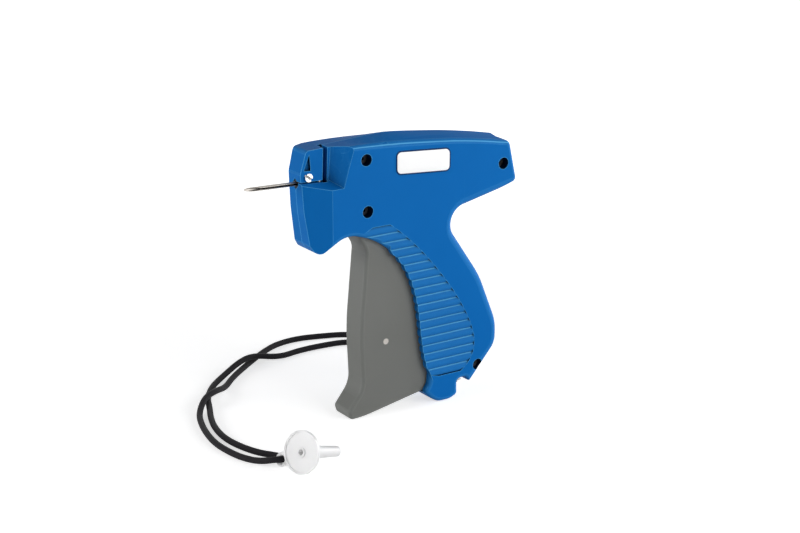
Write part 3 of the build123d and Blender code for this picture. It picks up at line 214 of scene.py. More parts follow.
def grid_mesh(name, points, closed=False, uv=None):
    """A mesh from points[i, j]. A closed one has its last column joined to its first, and its
    first and last rows each closed to a point in their middle."""
    rows, columns = points.shape[:2]
    i = np.arange(rows - 1)[:, None]
    j = np.arange(columns if closed else columns - 1)[None, :]
    i2, j2 = i + 1, (j + 1) % columns
    corners = (i * columns + j, i * columns + j2, i2 * columns + j2, i2 * columns + j)
    vertices = points.reshape(-1, 3)
    faces = np.stack(corners, axis=-1).reshape(-1, 4).tolist()
    for end in (0, 1) if closed else ():
        row = np.arange(columns) + (rows - 1) * columns * end
        vertices = np.vstack([vertices, vertices[row].mean(axis=0)])
        middle = len(vertices) - 1
        turned = np.roll(row, -1)
        pair = (row, turned) if end else (turned, row)
        faces += np.stack([pair[0], pair[1], np.full(columns, middle)], axis=1).tolist()
    mesh = bpy.data.meshes.new(name)
    mesh.from_pydata(vertices.tolist(), [], faces)
    mesh.polygons.foreach_set("use_smooth", np.ones(len(mesh.polygons), bool))
    if uv is not None:
        layer = mesh.uv_layers.new(name="UVMap")
        used = np.empty(len(mesh.loops), int)
        mesh.loops.foreach_get("vertex_index", used)
        flat = np.vstack([uv.reshape(-1, 2), np.zeros((len(vertices) - uv[..., 0].size, 2))])
        layer.data.foreach_set("uv", flat[used].ravel())
    return mesh


def place(name, mesh, material, body, slot):
    """Add a mesh to the scene with its finish, on the body that carries it."""
    thing = bpy.data.objects.new(name, mesh)
    bpy.context.scene.collection.objects.link(thing)
    mesh.materials.clear()
    mesh.materials.append(material)
    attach(thing, body)
    return thing


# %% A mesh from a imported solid
MERGE_GAP = 0.001 * MM         # corners nearer than this are one corner


def joined(node):
    """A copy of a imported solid, with its loose triangles joined, that can be changed."""
    shape = bmesh.new()
    shape.from_mesh(frame["nodes"][node].data)
    bmesh.ops.remove_doubles(shape, verts=shape.verts[:], dist=MERGE_GAP)
    return shape


def to_mesh(name, shape):
    """A mesh from an edited shape, which is then let go."""
    mesh = bpy.data.meshes.new(name)
    shape.to_mesh(mesh)
    shape.free()
    return mesh


def shade_smooth(mesh, sharp_angle):
    """Smooth shading, except across edges that turn by more than the angle in degrees."""
    if mesh.has_custom_normals:
        mesh.attributes.remove(mesh.attributes["custom_normal"])
    mesh.polygons.foreach_set("use_smooth", np.ones(len(mesh.polygons), bool))
    mesh.set_sharp_from_angle(angle=math.radians(sharp_angle))


# %% [markdown]
# ## Shared effects
#
# Moulded plastic is never quite even: it has a fine spark-eroded grain and slow changes of shade.
# On top of these, highlights are painted on its edges and shade is painted into its corners. These
# are node groups, built once and used by several finishes with their own numbers. Each group gives
# out only values or normals, and each finish keeps its own shader. A few helpers keep the node code
# as short as a formula.

# %% Node helpers
FLOAT = "NodeSocketFloat"
VECTOR = "NodeSocketVector"


def add_node(tree, kind, inputs=None, **settings):
    """A node with its settings, which come first, because a group's inputs are there once it has
    its tree; its inputs are constants or the outputs of other nodes."""
    node = tree.nodes.new(kind)
    for key, value in settings.items():
        setattr(node, key, value)
    for key, value in (inputs or {}).items():
        if isinstance(value, bpy.types.NodeSocket):
            tree.links.new(value, node.inputs[key])
        else:
            node.inputs[key].default_value = value
    return node


def calculate(tree, operation, *values, clamp=False):
    """The output of a Math node with those values."""
    return add_node(tree, "ShaderNodeMath", dict(enumerate(values)), operation=operation,
                    use_clamp=clamp).outputs[0]


def remap(tree, value, low, high, to_low=0.0, to_high=1.0):
    """A value stretched so that low becomes to_low and high becomes to_high, and held between."""
    return add_node(tree, "ShaderNodeMapRange",
                    {"Value": value, "From Min": low, "From Max": high,
                     "To Min": to_low, "To Max": to_high}).outputs[0]


def blend_colours(tree, factor, first, second):
    """The mix of two colours, each of which is three numbers or another node's output."""
    a, b = (c if isinstance(c, bpy.types.NodeSocket) else (*c, 1) for c in (first, second))
    return add_node(tree, "ShaderNodeMix", {"Factor": factor, "A": a, "B": b},
                    data_type="RGBA").outputs["Result"]


def new_group(name, numbers, outputs):
    """An empty node group with named number inputs and their usual values, and named outputs."""
    tree = bpy.data.node_groups.new(name, "ShaderNodeTree")
    for label, value in numbers.items():
        socket = tree.interface.new_socket(label, in_out="INPUT", socket_type=FLOAT)
        socket.default_value = value
    for label, kind in outputs.items():
        tree.interface.new_socket(label, in_out="OUTPUT", socket_type=kind)
    return (tree, tree.nodes.new("NodeGroupInput").outputs,
            tree.nodes.new("NodeGroupOutput").inputs)


def new_finish(name):
    """An empty material with its node tree and its shader."""
    material = bpy.data.materials.new(name)
    material.use_nodes = True
    return material, material.node_tree, material.node_tree.nodes["Principled BSDF"]


# %% Grain of moulded plastic
GRAIN_DEPTH = 0.1 * MM


def make_grain_group():
    """Two sizes of noise: one for the bump of the mould's surface, one for slow changes of
    shade."""
    tree, given, made = new_group("moulded_grain",
                                  {"Grain size": 0.4 * MM, "Strength": 0.1, "Cloud size": 30 * MM},
                                  {"Normal": VECTOR, "Clouds": FLOAT})
    place_of = add_node(tree, "ShaderNodeTexCoord").outputs["Object"]
    fine = calculate(tree, "DIVIDE", 1.0, given["Grain size"])
    broad = calculate(tree, "DIVIDE", 1.0, given["Cloud size"])
    grain = add_node(tree, "ShaderNodeTexNoise", {"Vector": place_of, "Scale": fine, "Detail": 2.0})
    clouds = add_node(tree, "ShaderNodeTexNoise",
                      {"Vector": place_of, "Scale": broad, "Detail": 1.0})
    bump = add_node(tree, "ShaderNodeBump", {"Strength": given["Strength"], "Distance": GRAIN_DEPTH,
                                             "Height": grain.outputs["Fac"]})
    tree.links.new(bump.outputs[0], made["Normal"])
    tree.links.new(clouds.outputs["Fac"], made["Clouds"])
    return tree


grain_group = make_grain_group()
print("grain nodes", len(grain_group.nodes))

# %% [markdown]
# An edge is found by comparing the surface's direction with the direction that it would have if it
# were rounded, and a hollow by how much of the sky the piece's own walls hide. Both are measured on
# the shape itself, so the painted highlights on the edges and the painted shade in the hollows stay
# where they are when the tool is turned.

# %% Painted highlights on edges and painted shade in hollows
EDGE_AGREE = (1.0, 0.7)        # cosine of the turn: on a flat, and on a full edge
SKY_SEEN = (0.95, 0.45)        # share of the sky: in the open, and in a full hollow


# The finishes paint highlights where Edge is high and paint shade where Hollow is high.
def make_edge_group():
    """How far the surface turns within a small radius, from 0 on a flat to 1 on an edge, and how
    much of the sky the piece's own walls hide, from 0 in the open to 1 deep in a groove."""
    tree, given, made = new_group("soft_edges",
                                  {"Radius": 0.4 * MM, "Width": 0.25, "Reach": 11 * MM},
                                  {"Edge": FLOAT, "Hollow": FLOAT})
    rounded = add_node(tree, "ShaderNodeBevel", {"Radius": given["Radius"]}, samples=6).outputs[0]
    straight = add_node(tree, "ShaderNodeNewGeometry").outputs["Normal"]
    agree = add_node(tree, "ShaderNodeVectorMath", {0: rounded, 1: straight},
                     operation="DOT_PRODUCT").outputs["Value"]
    shaped = calculate(tree, "POWER", remap(tree, agree, *EDGE_AGREE), given["Width"])
    sky = add_node(tree, "ShaderNodeAmbientOcclusion", {"Distance": given["Reach"]}, samples=8,
                   only_local=True).outputs["AO"]
    tree.links.new(shaped, made["Edge"])
    tree.links.new(remap(tree, sky, *SKY_SEEN), made["Hollow"])
    return tree


edge_group = make_edge_group()
print("edge nodes", len(edge_group.nodes))

# %% [markdown]
# A highlight is painted on the upper rims of the ribs and on the rounded top edge. Those are the
# parts of the side walls that face partly upwards, so a band of the surface's upward share picks
# them out.

# %% Painted highlights on rims
SIDE_FACING = (0.5, 0.7)       # sideways share of the direction: not yet a side wall, and one


def make_rim_group():
    """1 where the outward face of a side wall turns up by a third of a right angle, as the upper
    rims of ribs and the rounded top edge do, and 0 on level and upright faces."""
    tree, given, made = new_group("painted_rim_highlights", {"Low": 0.40, "High": 0.66, "Fade": 0.09},
                                  {"Rim": FLOAT})
    facing = add_node(tree, "ShaderNodeNewGeometry").outputs["Normal"]
    parts = add_node(tree, "ShaderNodeSeparateXYZ", {"Vector": facing}).outputs
    above = calculate(tree, "SUBTRACT", parts["Z"], given["Low"])
    under = calculate(tree, "SUBTRACT", given["High"], parts["Z"])
    inside = calculate(tree, "MINIMUM", above, under)
    band = calculate(tree, "DIVIDE", inside, given["Fade"], clamp=True)
    sideways = remap(tree, calculate(tree, "ABSOLUTE", parts["Y"]), *SIDE_FACING)
    tree.links.new(calculate(tree, "MULTIPLY", band, sideways), made["Rim"])
    return tree


rim_group = make_rim_group()
print("rim nodes", len(rim_group.nodes))

# %% [markdown]
# ## Plastics
#
# The two halves are a saturated blue, satin rather than glossy; the trigger is a warm grey and
# duller. The finish mixes two near shades by the slow clouds, paints highlights on the edges and
# rims, paints shade into the hollows, and lets the grain break up the highlights. The mechanism
# inside is natural acetal and nylon, which are milky and slightly slippery.

# %% Plastic finishes
# Painted shade: the deepest hollows are darkened to this share of the plastic's own colour.
PAINTED_HOLLOW_SHADE = 0.12             # of the plastic's own colour, in its deepest hollows
CLOUD_RANGE = (0.3, 0.7)       # of the clouds, from their dark to their light parts
ROUGH_CHANGE = (-0.04, 0.05)   # of the roughness, from one to the other
# Painted highlight: edges and rims with no colour given are lightened to their pale shade and white.
EDGE_WHITE = 0.2               # mixed into the pale shade for an edge that has no colour given


def plastic(name, colour, pale, roughness, edge=None, edge_light=0.35, grain=0.12, shine=0.5,
            coat=0.0, painted_shade=0.0, rim=0.0):
    """A moulded plastic between two near shades, with painted highlights on its edges and rims and
    painted shade in its hollows."""
    material, tree, shader = new_finish(name)
    grains = add_node(tree, "ShaderNodeGroup", node_tree=grain_group)
    grains.inputs["Strength"].default_value = grain
    edges = add_node(tree, "ShaderNodeGroup", node_tree=edge_group).outputs
    clouds = grains.outputs["Clouds"]
    shades = blend_colours(tree, clouds, colour, pale)
    # Painted highlight on the edges and, where asked, on the rims.
    amount = calculate(tree, "MULTIPLY", edges["Edge"], edge_light)
    if rim:
        rims = add_node(tree, "ShaderNodeGroup", node_tree=rim_group).outputs["Rim"]
        amount = calculate(tree, "MAXIMUM", amount, calculate(tree, "MULTIPLY", rims, rim))
    light = edge or tuple((1 - EDGE_WHITE) * c + EDGE_WHITE for c in pale)
    highlighted = blend_colours(tree, amount, shades, light)
    # Painted shade, deepest in the hollows.
    depth = calculate(tree, "MULTIPLY", edges["Hollow"], painted_shade)
    shaded = blend_colours(tree, depth, highlighted, [PAINTED_HOLLOW_SHADE * c for c in colour])
    rough = remap(tree, clouds, *CLOUD_RANGE, *(roughness + change for change in ROUGH_CHANGE))
    tree.links.new(shaded, shader.inputs["Base Color"])
    tree.links.new(rough, shader.inputs["Roughness"])
    tree.links.new(grains.outputs["Normal"], shader.inputs["Normal"])
    shader.inputs["Coat Weight"].default_value = coat
    shader.inputs["Specular IOR Level"].default_value = shine
    return material


# The edge colours are painted highlights, and the darkening of the hollows is painted shade.
finishes = {
    "housing_plastic": plastic("housing_plastic", (0.003, 0.125, 0.422), (0.004, 0.140, 0.458),
                               0.45, edge=(0.12, 0.48, 0.82), edge_light=0.75, shine=0.03,
                               painted_shade=1.0, rim=0.8),
    "trigger_plastic": plastic("trigger_plastic", (0.135, 0.140, 0.130), (0.160, 0.165, 0.155),
                               0.50, edge=(0.34, 0.36, 0.34), edge_light=0.6, shine=0.25,
                               grain=0.2, painted_shade=0.6),
    "dark_plastic": plastic("dark_plastic", (0.010, 0.010, 0.012), (0.016, 0.016, 0.018), 0.5,
                            shine=0.2),
    "inner_plastic": plastic("inner_plastic", (0.70, 0.70, 0.66), (0.78, 0.78, 0.74), 0.4),
    "gear_plastic": plastic("gear_plastic", (0.78, 0.77, 0.72), (0.84, 0.83, 0.79), 0.38),
}
print("plastics", sorted(finishes))

# %% [markdown]
# ## Metals
#
# The needle and the pins are ground steel, with fine scratches along them; the lock screw is
# nickel plated and bright; the housing screws are blackened. Stretched noise makes the scratches,
# and it moves only the roughness and the bump. The colour is even, apart from the shade painted
# into slots, where little light gets in.

# %% Metal finishes
# Painted shade in slots: the colour darkens where the metal's own walls hide the sky.
SLOT_REACH = 3 * MM            # distance within which a wall shades a slot
SLOT_SHADE = 0.04              # of the metal's own colour, deep in a slot
SCRATCH_SCALE = 900.0          # noise cells in a metre, across the scratches
SCRATCH_DEPTH = 0.05 * MM
SCRATCH_ROUGH = (0.7, 1.3)     # times the roughness, from the smooth parts to the scratched ones
ALONG_NEEDLE = (0.05, 1, 1)    # the noise is stretched along X


def metal(name, colour, roughness, scratch=0.1, stretch=(1, 1, 1), metallic=1.0):
    """A metal whose roughness follows noise that is stretched along its scratches, and which has
    shade painted into its slots."""
    material, tree, shader = new_finish(name)
    place_of = add_node(tree, "ShaderNodeTexCoord").outputs["Object"]
    stretched = add_node(tree, "ShaderNodeMapping", {"Vector": place_of, "Scale": stretch})
    noise = add_node(tree, "ShaderNodeTexNoise", {"Vector": stretched.outputs[0],
                                                  "Scale": SCRATCH_SCALE, "Detail": 3.0})
    rough = remap(tree, noise.outputs["Fac"], *CLOUD_RANGE,
                  *(roughness * times for times in SCRATCH_ROUGH))
    bump = add_node(tree, "ShaderNodeBump", {"Strength": scratch, "Distance": SCRATCH_DEPTH,
                                             "Height": noise.outputs["Fac"]})
    edges = add_node(tree, "ShaderNodeGroup", {"Reach": SLOT_REACH}, node_tree=edge_group)
    # Painted shade in the slots.
    shaded = blend_colours(tree, edges.outputs["Hollow"], colour,
                           [SLOT_SHADE * c for c in colour])
    tree.links.new(shaded, shader.inputs["Base Color"])
    shader.inputs["Metallic"].default_value = metallic
    tree.links.new(rough, shader.inputs["Roughness"])
    tree.links.new(bump.outputs[0], shader.inputs["Normal"])
    return material


metals = {
    "steel": metal("steel", (0.40, 0.375, 0.345), 0.36, stretch=ALONG_NEEDLE),
    "nickel": metal("nickel", (0.80, 0.80, 0.79), 0.24),
    "black_steel": metal("black_steel", (0.02, 0.02, 0.025), 0.4, metallic=0.6),
    "spring_wire": metal("spring_wire", (0.42, 0.42, 0.43), 0.3),
}
finishes.update(metals)
print("metals", sorted(metals))

# %% [markdown]
# ## Cord and cap
#
# The cord's braid is real shape, so its finish only needs the dull sheen of nylon yarn, a painted
# highlight that makes the crowns paler, and fine fibres that follow the surface. The cap is a soft
# translucent white: light enters it, scatters and comes out again, so it looks faintly brighter at
# its thin rim.

# %% Cord and cap finishes
# Painted highlight on the braid: the crowns are painted paler than the yarn's near black.
CROWN_RANGE = (0.62, 1.0)      # of the braid's height: where the paler crowns begin, and their top
FIBRE_DEPTH = 0.05 * MM
CAP_ROUGH = 0.35
CAP_ROUGH_CHANGE = 0.05


def yarn(name, colour, pale):
    """Black nylon yarn: near black between the yarns, with a painted highlight that makes their
    crowns greyer, broken up by fine fibres."""
    material, tree, shader = new_finish(name)
    along = add_node(tree, "ShaderNodeUVMap", uv_map="UVMap").outputs[0]
    fibres = add_node(tree, "ShaderNodeTexNoise",
                      {"Vector": along, "Scale": 5.0, "Detail": 4.0}).outputs["Fac"]
    height = add_node(tree, "ShaderNodeAttribute", attribute_name="braid").outputs["Fac"]
    # Painted highlight, strongest on the crowns.
    crown_highlight = calculate(tree, "MULTIPLY", remap(tree, height, *CROWN_RANGE), fibres)
    bump = add_node(tree, "ShaderNodeBump",
                    {"Strength": 0.35, "Distance": FIBRE_DEPTH, "Height": fibres})
    tree.links.new(blend_colours(tree, crown_highlight, colour, pale), shader.inputs["Base Color"])
    tree.links.new(bump.outputs[0], shader.inputs["Normal"])
    shader.inputs["Roughness"].default_value = 0.75
    shader.inputs["Specular IOR Level"].default_value = 0.2
    shader.inputs["Sheen Weight"].default_value = 0.08
    shader.inputs["Sheen Roughness"].default_value = 0.4
    return material


def milky(name, colour, roughness):
    """Soft translucent plastic with light scattered inside it."""
    material, tree, shader = new_finish(name)
    grains = add_node(tree, "ShaderNodeGroup", node_tree=grain_group).outputs
    rough = remap(tree, grains["Clouds"], 0.0, 1.0, roughness - CAP_ROUGH_CHANGE,
                  roughness + CAP_ROUGH_CHANGE)
    tree.links.new(rough, shader.inputs["Roughness"])
    tree.links.new(grains["Normal"], shader.inputs["Normal"])
    shader.inputs["Base Color"].default_value = (*colour, 1)
    shader.inputs["Subsurface Weight"].default_value = 0.8
    shader.inputs["Subsurface Radius"].default_value = (1.0, 1.0, 1.0)
    shader.inputs["Subsurface Scale"].default_value = 2 * MM
    shader.inputs["Transmission Weight"].default_value = 0.2
    shader.inputs["IOR"].default_value = 1.45
    return material


finishes["cord_braid"] = yarn("cord_braid", (0.006, 0.005, 0.007), (0.110, 0.102, 0.120))
finishes["cap_plastic"] = milky("cap_plastic", (0.99, 0.985, 0.99), CAP_ROUGH)
print("finishes", len(finishes))

# %% [markdown]
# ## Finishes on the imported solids
#
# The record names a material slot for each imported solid, and the finishes have the same names, so
# one loop gives every solid its own, the hidden mechanism too.

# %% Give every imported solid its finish
slots = {part["node"]: part["material_slot"] for part in frame["record"]["subparts"]}
for node, thing in frame["nodes"].items():
    thing.data.materials.clear()
    thing.data.materials.append(finishes[slots[node]])
print("finished", len(slots), "packed solids with", len(finishes), "finishes")

# %% [markdown]
# ## The arched top of the barrel
#
# The real barrel isn't straight on top: its edges follow a long shallow arc and its middle is
# crowned, so light slides off it softly. The solid halves have a plainer top. Here a copy of each
# is cut across by many planes, which gives the flat top the points that it lacks, and one formula
# lifts them; everything below the top edge stays as it was.

# %% Arched top
TOP_LINE = ([-46.0, -18.0, 72.9], [145.6, 146.7, 134.7])      # X and Z of the solid's top edge, mm
TOP_BAND = (4.4, 3.2)          # below that line: where the lift begins, and where it is whole
# The lift of the edge at each X, and that of the middle on top of it.
EDGE_LIFT = ([-48, -23, -7, 19, 38, 58, 72], [-0.7, -0.7, -0.7, 0.6, 1.4, 1.1, 0.2])
MIDDLE_LIFT = ([-25, -13, -7, 5, 17, 35, 60, 72], [0.0, 0.8, 1.3, 2.0, 1.7, 1.1, 0.5, 0.2])
SOFTEN = np.linspace(-7, 7, 9)                                # places whose mean smooths the lines
BARREL_HALF = 11.5             # half width
CUTS_ALONG = np.arange(-46, 74, 3.0)
CUTS_ACROSS = (3.0, 6.0, 9.0)
CUT_ABOVE = 128.0              # only faces that reach this height are cut
HOUSING_SHARP = 19.0           # degrees


def softened(x, line):
    """A broken line's height at x, as the mean over a stretch either side."""
    return np.interp(x[:, None] + SOFTEN, *line).mean(axis=1)


def arched(points):
    """The points with Z raised: the edge's lift, and a parabola across the barrel on top of it,
    both fading to nothing just below the top edge."""
    x, y, z = points.T
    below = np.interp(x, *TOP_LINE) - z
    share = np.clip((TOP_BAND[0] - below) / (TOP_BAND[0] - TOP_BAND[1]), 0, 1)
    lift = softened(x, EDGE_LIFT) + softened(x, MIDDLE_LIFT) * (1 - (y / BARREL_HALF) ** 2)
    return np.column_stack([x, y, z + share * share * (3 - 2 * share) * lift])


def cut_top(shape, side):
    """Cut the faces near the top by planes along the barrel and across it, on one side of it."""
    high = [face for face in shape.faces
            if max(v.co.z for v in face.verts) > CUT_ABOVE * MM]
    edges, corners = {e for f in high for e in f.edges}, {v for f in high for v in f.verts}
    geometry = [*corners, *edges, *high]
    planes = [((x, 0, 0), (1, 0, 0)) for x in CUTS_ALONG]
    planes += [((0, side * y, 0), (0, 1, 0)) for y in CUTS_ACROSS]
    for place_of, facing in planes:
        geometry = bmesh.ops.bisect_plane(shape, geom=geometry, dist=MERGE_GAP,
                                          plane_co=Vector(place_of) * MM,
                                          plane_no=facing)["geom"]


def arched_copy(node):
    """A half of the housing whose top follows the arc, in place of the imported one."""
    shape = joined(node)
    cut_top(shape, 1 if node == "right_housing" else -1)
    mesh = to_mesh(node + "_arched", shape)
    points = np.empty(len(mesh.vertices) * 3)
    mesh.vertices.foreach_get("co", points)
    mesh.vertices.foreach_set("co", (arched(points.reshape(-1, 3) / MM) * MM).ravel())
    shade_smooth(mesh, HOUSING_SHARP)
    thing = place(node + "_arched", mesh, finishes[slots[node]], "housing", slots[node])
    flats = thing.modifiers.new("flat_faces_stay_flat", "WEIGHTED_NORMAL")
    flats.keep_sharp = True
    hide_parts(node)
    return thing


for half in ("left_housing", "right_housing"):
    print(half, "faces", len(arched_copy(half).data.polygons))

# %% [markdown]
# ## The lock screw
#
# A quarter turn of this small plated screw frees the needle, and it rests wherever the last hand
# left it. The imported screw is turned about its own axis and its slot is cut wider, which a Boolean
# modifier does with a brick laid along the slot. Only the applied result stays in the scene.

# %% Lock screw
LOCK_TURN = 65.0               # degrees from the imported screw's slot to this one's
LOCK_SLOPE = 35.0              # degrees by which this slot falls towards the rear
LOCK_BRICK = Vector((8.0, 1.9, 1.15))    # longer than the head, twice the slot's depth, its width
LOCK_SHARP = 30.0              # degrees


def about_y(degrees):
    """A turn about the Y axis, which is the screw's."""
    return Matrix.Rotation(math.radians(degrees), 3, "Y")


def cut_away(shape, tool):
    """The mesh of one closed shape less another."""
    things = []
    for name, part in (("whole", shape), ("tool", tool)):
        things.append(bpy.data.objects.new(name, to_mesh(name, part)))
        bpy.context.scene.collection.objects.link(things[-1])
    cut = things[0].modifiers.new("cut", "BOOLEAN")
    cut.operation, cut.solver, cut.object = "DIFFERENCE", "EXACT", things[1]
    ready = things[0].evaluated_get(bpy.context.evaluated_depsgraph_get())
    mesh = bpy.data.meshes.new_from_object(ready)
    for thing in things:
        bpy.data.objects.remove(thing)
    return mesh


def slotted_lock():
    """The screw turned about its joint's axis, less a brick whose middle is on its head's face."""
    joint = next(j for j in frame["record"]["behaviour"]["joints"]
                 if j["name"] == "needle_lock_turn")
    centre = Vector(joint["pos_m"])
    face = Vector((centre.x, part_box("needle_lock")[0][1], centre.z))
    screw, brick = joined("needle_lock"), bmesh.new()
    bmesh.ops.rotate(screw, cent=centre, matrix=about_y(LOCK_TURN), verts=screw.verts[:])
    bmesh.ops.create_cube(brick, size=1.0)
    bmesh.ops.scale(brick, vec=LOCK_BRICK * MM, verts=brick.verts[:])
    bmesh.ops.rotate(brick, matrix=about_y(LOCK_SLOPE), verts=brick.verts[:])
    bmesh.ops.translate(brick, vec=face, verts=brick.verts[:])
    mesh = cut_away(screw, brick)
    shade_smooth(mesh, LOCK_SHARP)
    lock = place("needle_lock_turned", mesh, finishes["nickel"], "needle_lock", "nickel")
    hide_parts("needle_lock")
    return lock


print("lock screw faces", len(slotted_lock().data.polygons))

# %% [markdown]
# ## The braided cord
#
# The sleeve of such a cord is two families of yarn that wind round it in opposite ways and pass
# over and under each other. Instead of modelling each yarn, the surface of one tube is raised
# where a yarn lies on top: each family is a row of rounded ridges, and a chequered pattern says
# which family is on top. A frame that turns as little as it can is carried along the route, so
# the braid doesn't twist with the bends.

# %% Braid on the cord
BRAID_YARNS = 8                # in each direction
BRAID_PITCH = 9.5 * MM         # along the cord, for one turn of a yarn
BRAID_RELIEF = 0.30 * MM
RIDGE_POWER = 0.7              # below 1 a ridge is broad on top and steep at its sides
RIDGE_LEVEL = 0.6              # mean height of a ridge, and the most that it rises or sinks
RIDGE_WEAVE = 0.4
BULGE_RUN = 14 * MM            # distance from the crimp in which the braid gets its free thickness
ROUND_COUNT = 36
RING_STEP = 0.3 * MM


def carried_frames(line):
    """Two directions square to the line at each point, carried along it with the least turn."""
    tangent = np.gradient(line, axis=0)
    tangent /= np.linalg.norm(tangent, axis=1)[:, None]
    side = np.empty_like(tangent)
    start = np.cross(tangent[0], (0, 0, 1))
    side[0] = start / np.linalg.norm(start)
    for k in range(1, len(line)):
        moved = side[k - 1] - tangent[k] * (side[k - 1] @ tangent[k])
        side[k] = moved / np.linalg.norm(moved)
    return side, np.cross(tangent, side)


def braid_height(along, angle):
    """From 0 between the yarns to 1 on their crowns: the higher of two crossing families of
    ridges, where each ridge sinks while it passes under the other family."""
    turn = 2 * np.pi * along / BRAID_PITCH
    first, second = BRAID_YARNS * (angle + turn) / 2, BRAID_YARNS * (angle - turn) / 2
    weave = RIDGE_WEAVE * (np.sin(first) * np.sin(second))
    ridge_a = np.abs(np.cos(first)) ** RIDGE_POWER * (RIDGE_LEVEL + weave)
    ridge_b = np.abs(np.cos(second)) ** RIDGE_POWER * (RIDGE_LEVEL - weave)
    return np.maximum(ridge_a, ridge_b)


def braided_tube(line, along):
    """A tube round the line whose radius follows the braid and grows out of the crimp."""
    side, other = carried_frames(line)
    angle = np.linspace(0, 2 * np.pi, ROUND_COUNT, endpoint=False)[None, :]
    height = braid_height(along[:, None], angle)
    free = np.clip(np.minimum(along, along[-1] - along) / BULGE_RUN, 0, 1)[:, None]
    radius = (CORD_RADIUS + LOOSE_BULGE * free) * MM - BRAID_RELIEF * (1 - height)
    spoke = np.cos(angle)[..., None] * side[:, None] + np.sin(angle)[..., None] * other[:, None]
    uv = np.stack(np.broadcast_arrays(along[:, None] / MM, angle * CORD_RADIUS), axis=-1)
    mesh = grid_mesh("wrist_cord_braid", line[:, None] + radius[..., None] * spoke,
                     closed=True, uv=uv)
    crowns = mesh.attributes.new("braid", "FLOAT", "POINT")
    crowns.data.foreach_set("value", np.append(height.ravel(), [0, 0]).astype(np.float32))
    return mesh


cord_line, cord_along = evenly(route, RING_STEP)
cord = place("wrist_cord_braid", braided_tube(cord_line, cord_along), finishes["cord_braid"],
             "housing", "cord_braid")
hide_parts("wrist_cord")
print("cord faces", len(cord.data.polygons))

# %% [markdown]
# ## The plate on the side
#
# Such tools carry a small printed plate on the left of the barrel. Here it stays bare: a white
# field with rounded corners inside a dark blue ring, which is a painted shadow line round the
# plate's edge; the field is slightly crowned like a pressed-on plate.
# Its long edges slope with the barrel and its ends stay upright. One function gives the outline of
# a rounded rectangle, and rings that shrink towards the middle carry it inwards.

# %% Side plate
PLATE_CORNER = np.array([2.0, 139.57])         # upper front corner on the barrel's side, in mm
PLATE_LENGTH = 33.2                            # along its sloping edges
PLATE_HEIGHT = 12.6
PLATE_SLOPE = -4.4                             # degrees
PLATE_ROUND = 3.1
# Width of the plate's rim that is painted dark as a shadow line round the white field.
PLATE_BORDER = 0.8
PLATE_THICKNESS = 0.14
FIELD_RISE = 0.04                              # of the white field over the border
BORDER_SINK = 0.1                              # of the border's wall into the barrel
CROWN_RUN, CROWN_RISE = 2.5, 0.02              # the last ring: how far in, and how much higher
LEAST_ROUND = 0.2
SIDE_Y = -11.5
OUTLINE_POINTS = 96


def rounded_rectangle(half_length, half_height, radius, count):
    """Points round a rectangle with round corners: a circle's direction, with the circle's
    middle in each corner."""
    angle = np.linspace(0, 2 * np.pi, count, endpoint=False) + np.pi / count
    x = np.sign(np.cos(angle)) * (half_length - radius) + radius * np.cos(angle)
    z = np.sign(np.sin(angle)) * (half_height - radius) + radius * np.sin(angle)
    return np.stack([x, z], axis=1)


def plate_mesh(name, inset, low, high, edge):
    """A thin plate with a rounded edge: the outline rises, turns over the edge and runs in to the
    middle."""
    steps = [(0, low), (0, high - edge), (0.3 * edge, high - 0.3 * edge), (edge, high),
             (CROWN_RUN, high + CROWN_RISE)]
    rings = []
    for shrink, height in steps:
        less = inset + shrink
        outline = rounded_rectangle(PLATE_LENGTH / 2 - less, PLATE_HEIGHT / 2 - less,
                                    max(PLATE_ROUND - less, LEAST_ROUND), OUTLINE_POINTS)
        rings.append(np.column_stack([outline[:, 0], np.full(OUTLINE_POINTS, -height),
                                      outline[:, 1]]))
    points = np.array(rings)
    slope = math.radians(PLATE_SLOPE)
    along, up = np.array([math.cos(slope), math.sin(slope)]), np.array([0.0, 1.0])
    middle = PLATE_CORNER + along * PLATE_LENGTH / 2 - up * PLATE_HEIGHT / 2
    x = middle[0] + points[..., 0] * along[0] + points[..., 2] * up[0]
    z = middle[1] + points[..., 0] * along[1] + points[..., 2] * up[1]
    placed = np.stack([x, SIDE_Y + points[..., 1], z], axis=-1) * MM
    return grid_mesh(name, placed, closed=True)


# The plate's rim is painted dark blue: a painted shadow line round the white field.
finishes["plate_edge_shadow"] = plastic("plate_edge_shadow", (0.004, 0.034, 0.110), (0.005, 0.039, 0.125),
                                   0.4, grain=0.03, edge_light=0.0, shine=0.05)
finishes["plate_white"] = plastic("plate_white", (0.95, 0.955, 0.96), (0.98, 0.98, 0.98), 0.35,
                                  grain=0.03, edge_light=0.0, coat=0.1)
shadow_ring = place("side_plate_edge_shadow",
               plate_mesh("side_plate_edge_shadow", 0, -BORDER_SINK, PLATE_THICKNESS, 0.06),
               finishes["plate_edge_shadow"], "housing", "housing_plastic")
field = place("side_plate_field",
              plate_mesh("side_plate_field", PLATE_BORDER, 0, PLATE_THICKNESS + FIELD_RISE, 0.03),
              finishes["plate_white"], "housing", "housing_plastic")
print("plate faces", len(shadow_ring.data.polygons), len(field.data.polygons))

# %% [markdown]
# ## Studio
#
# A pale floor and a white surround. The surround is white only for what the camera and glossy or
# clear surfaces see; to everything else it is a grey light that weakens upwards, so the top stays
# darker than the sides. The floor glows a little for the camera alone and keeps its soft shadow.

# %% Floor and surround
FLOOR_HALF = 3.0
FLOOR_GREY = (0.8, 0.8, 0.8, 1)
WHITE = (1, 1, 1, 1)
FLOOR_LIFT = (0.64, 1.0)       # the floor's own glow towards the camera, near the tool and far off
LIFT_RUN = (0.22, 0.6)         # distances between which it grows
AMBIENT = (0.48, 0.0)          # level of the plain light from the horizon and from straight above


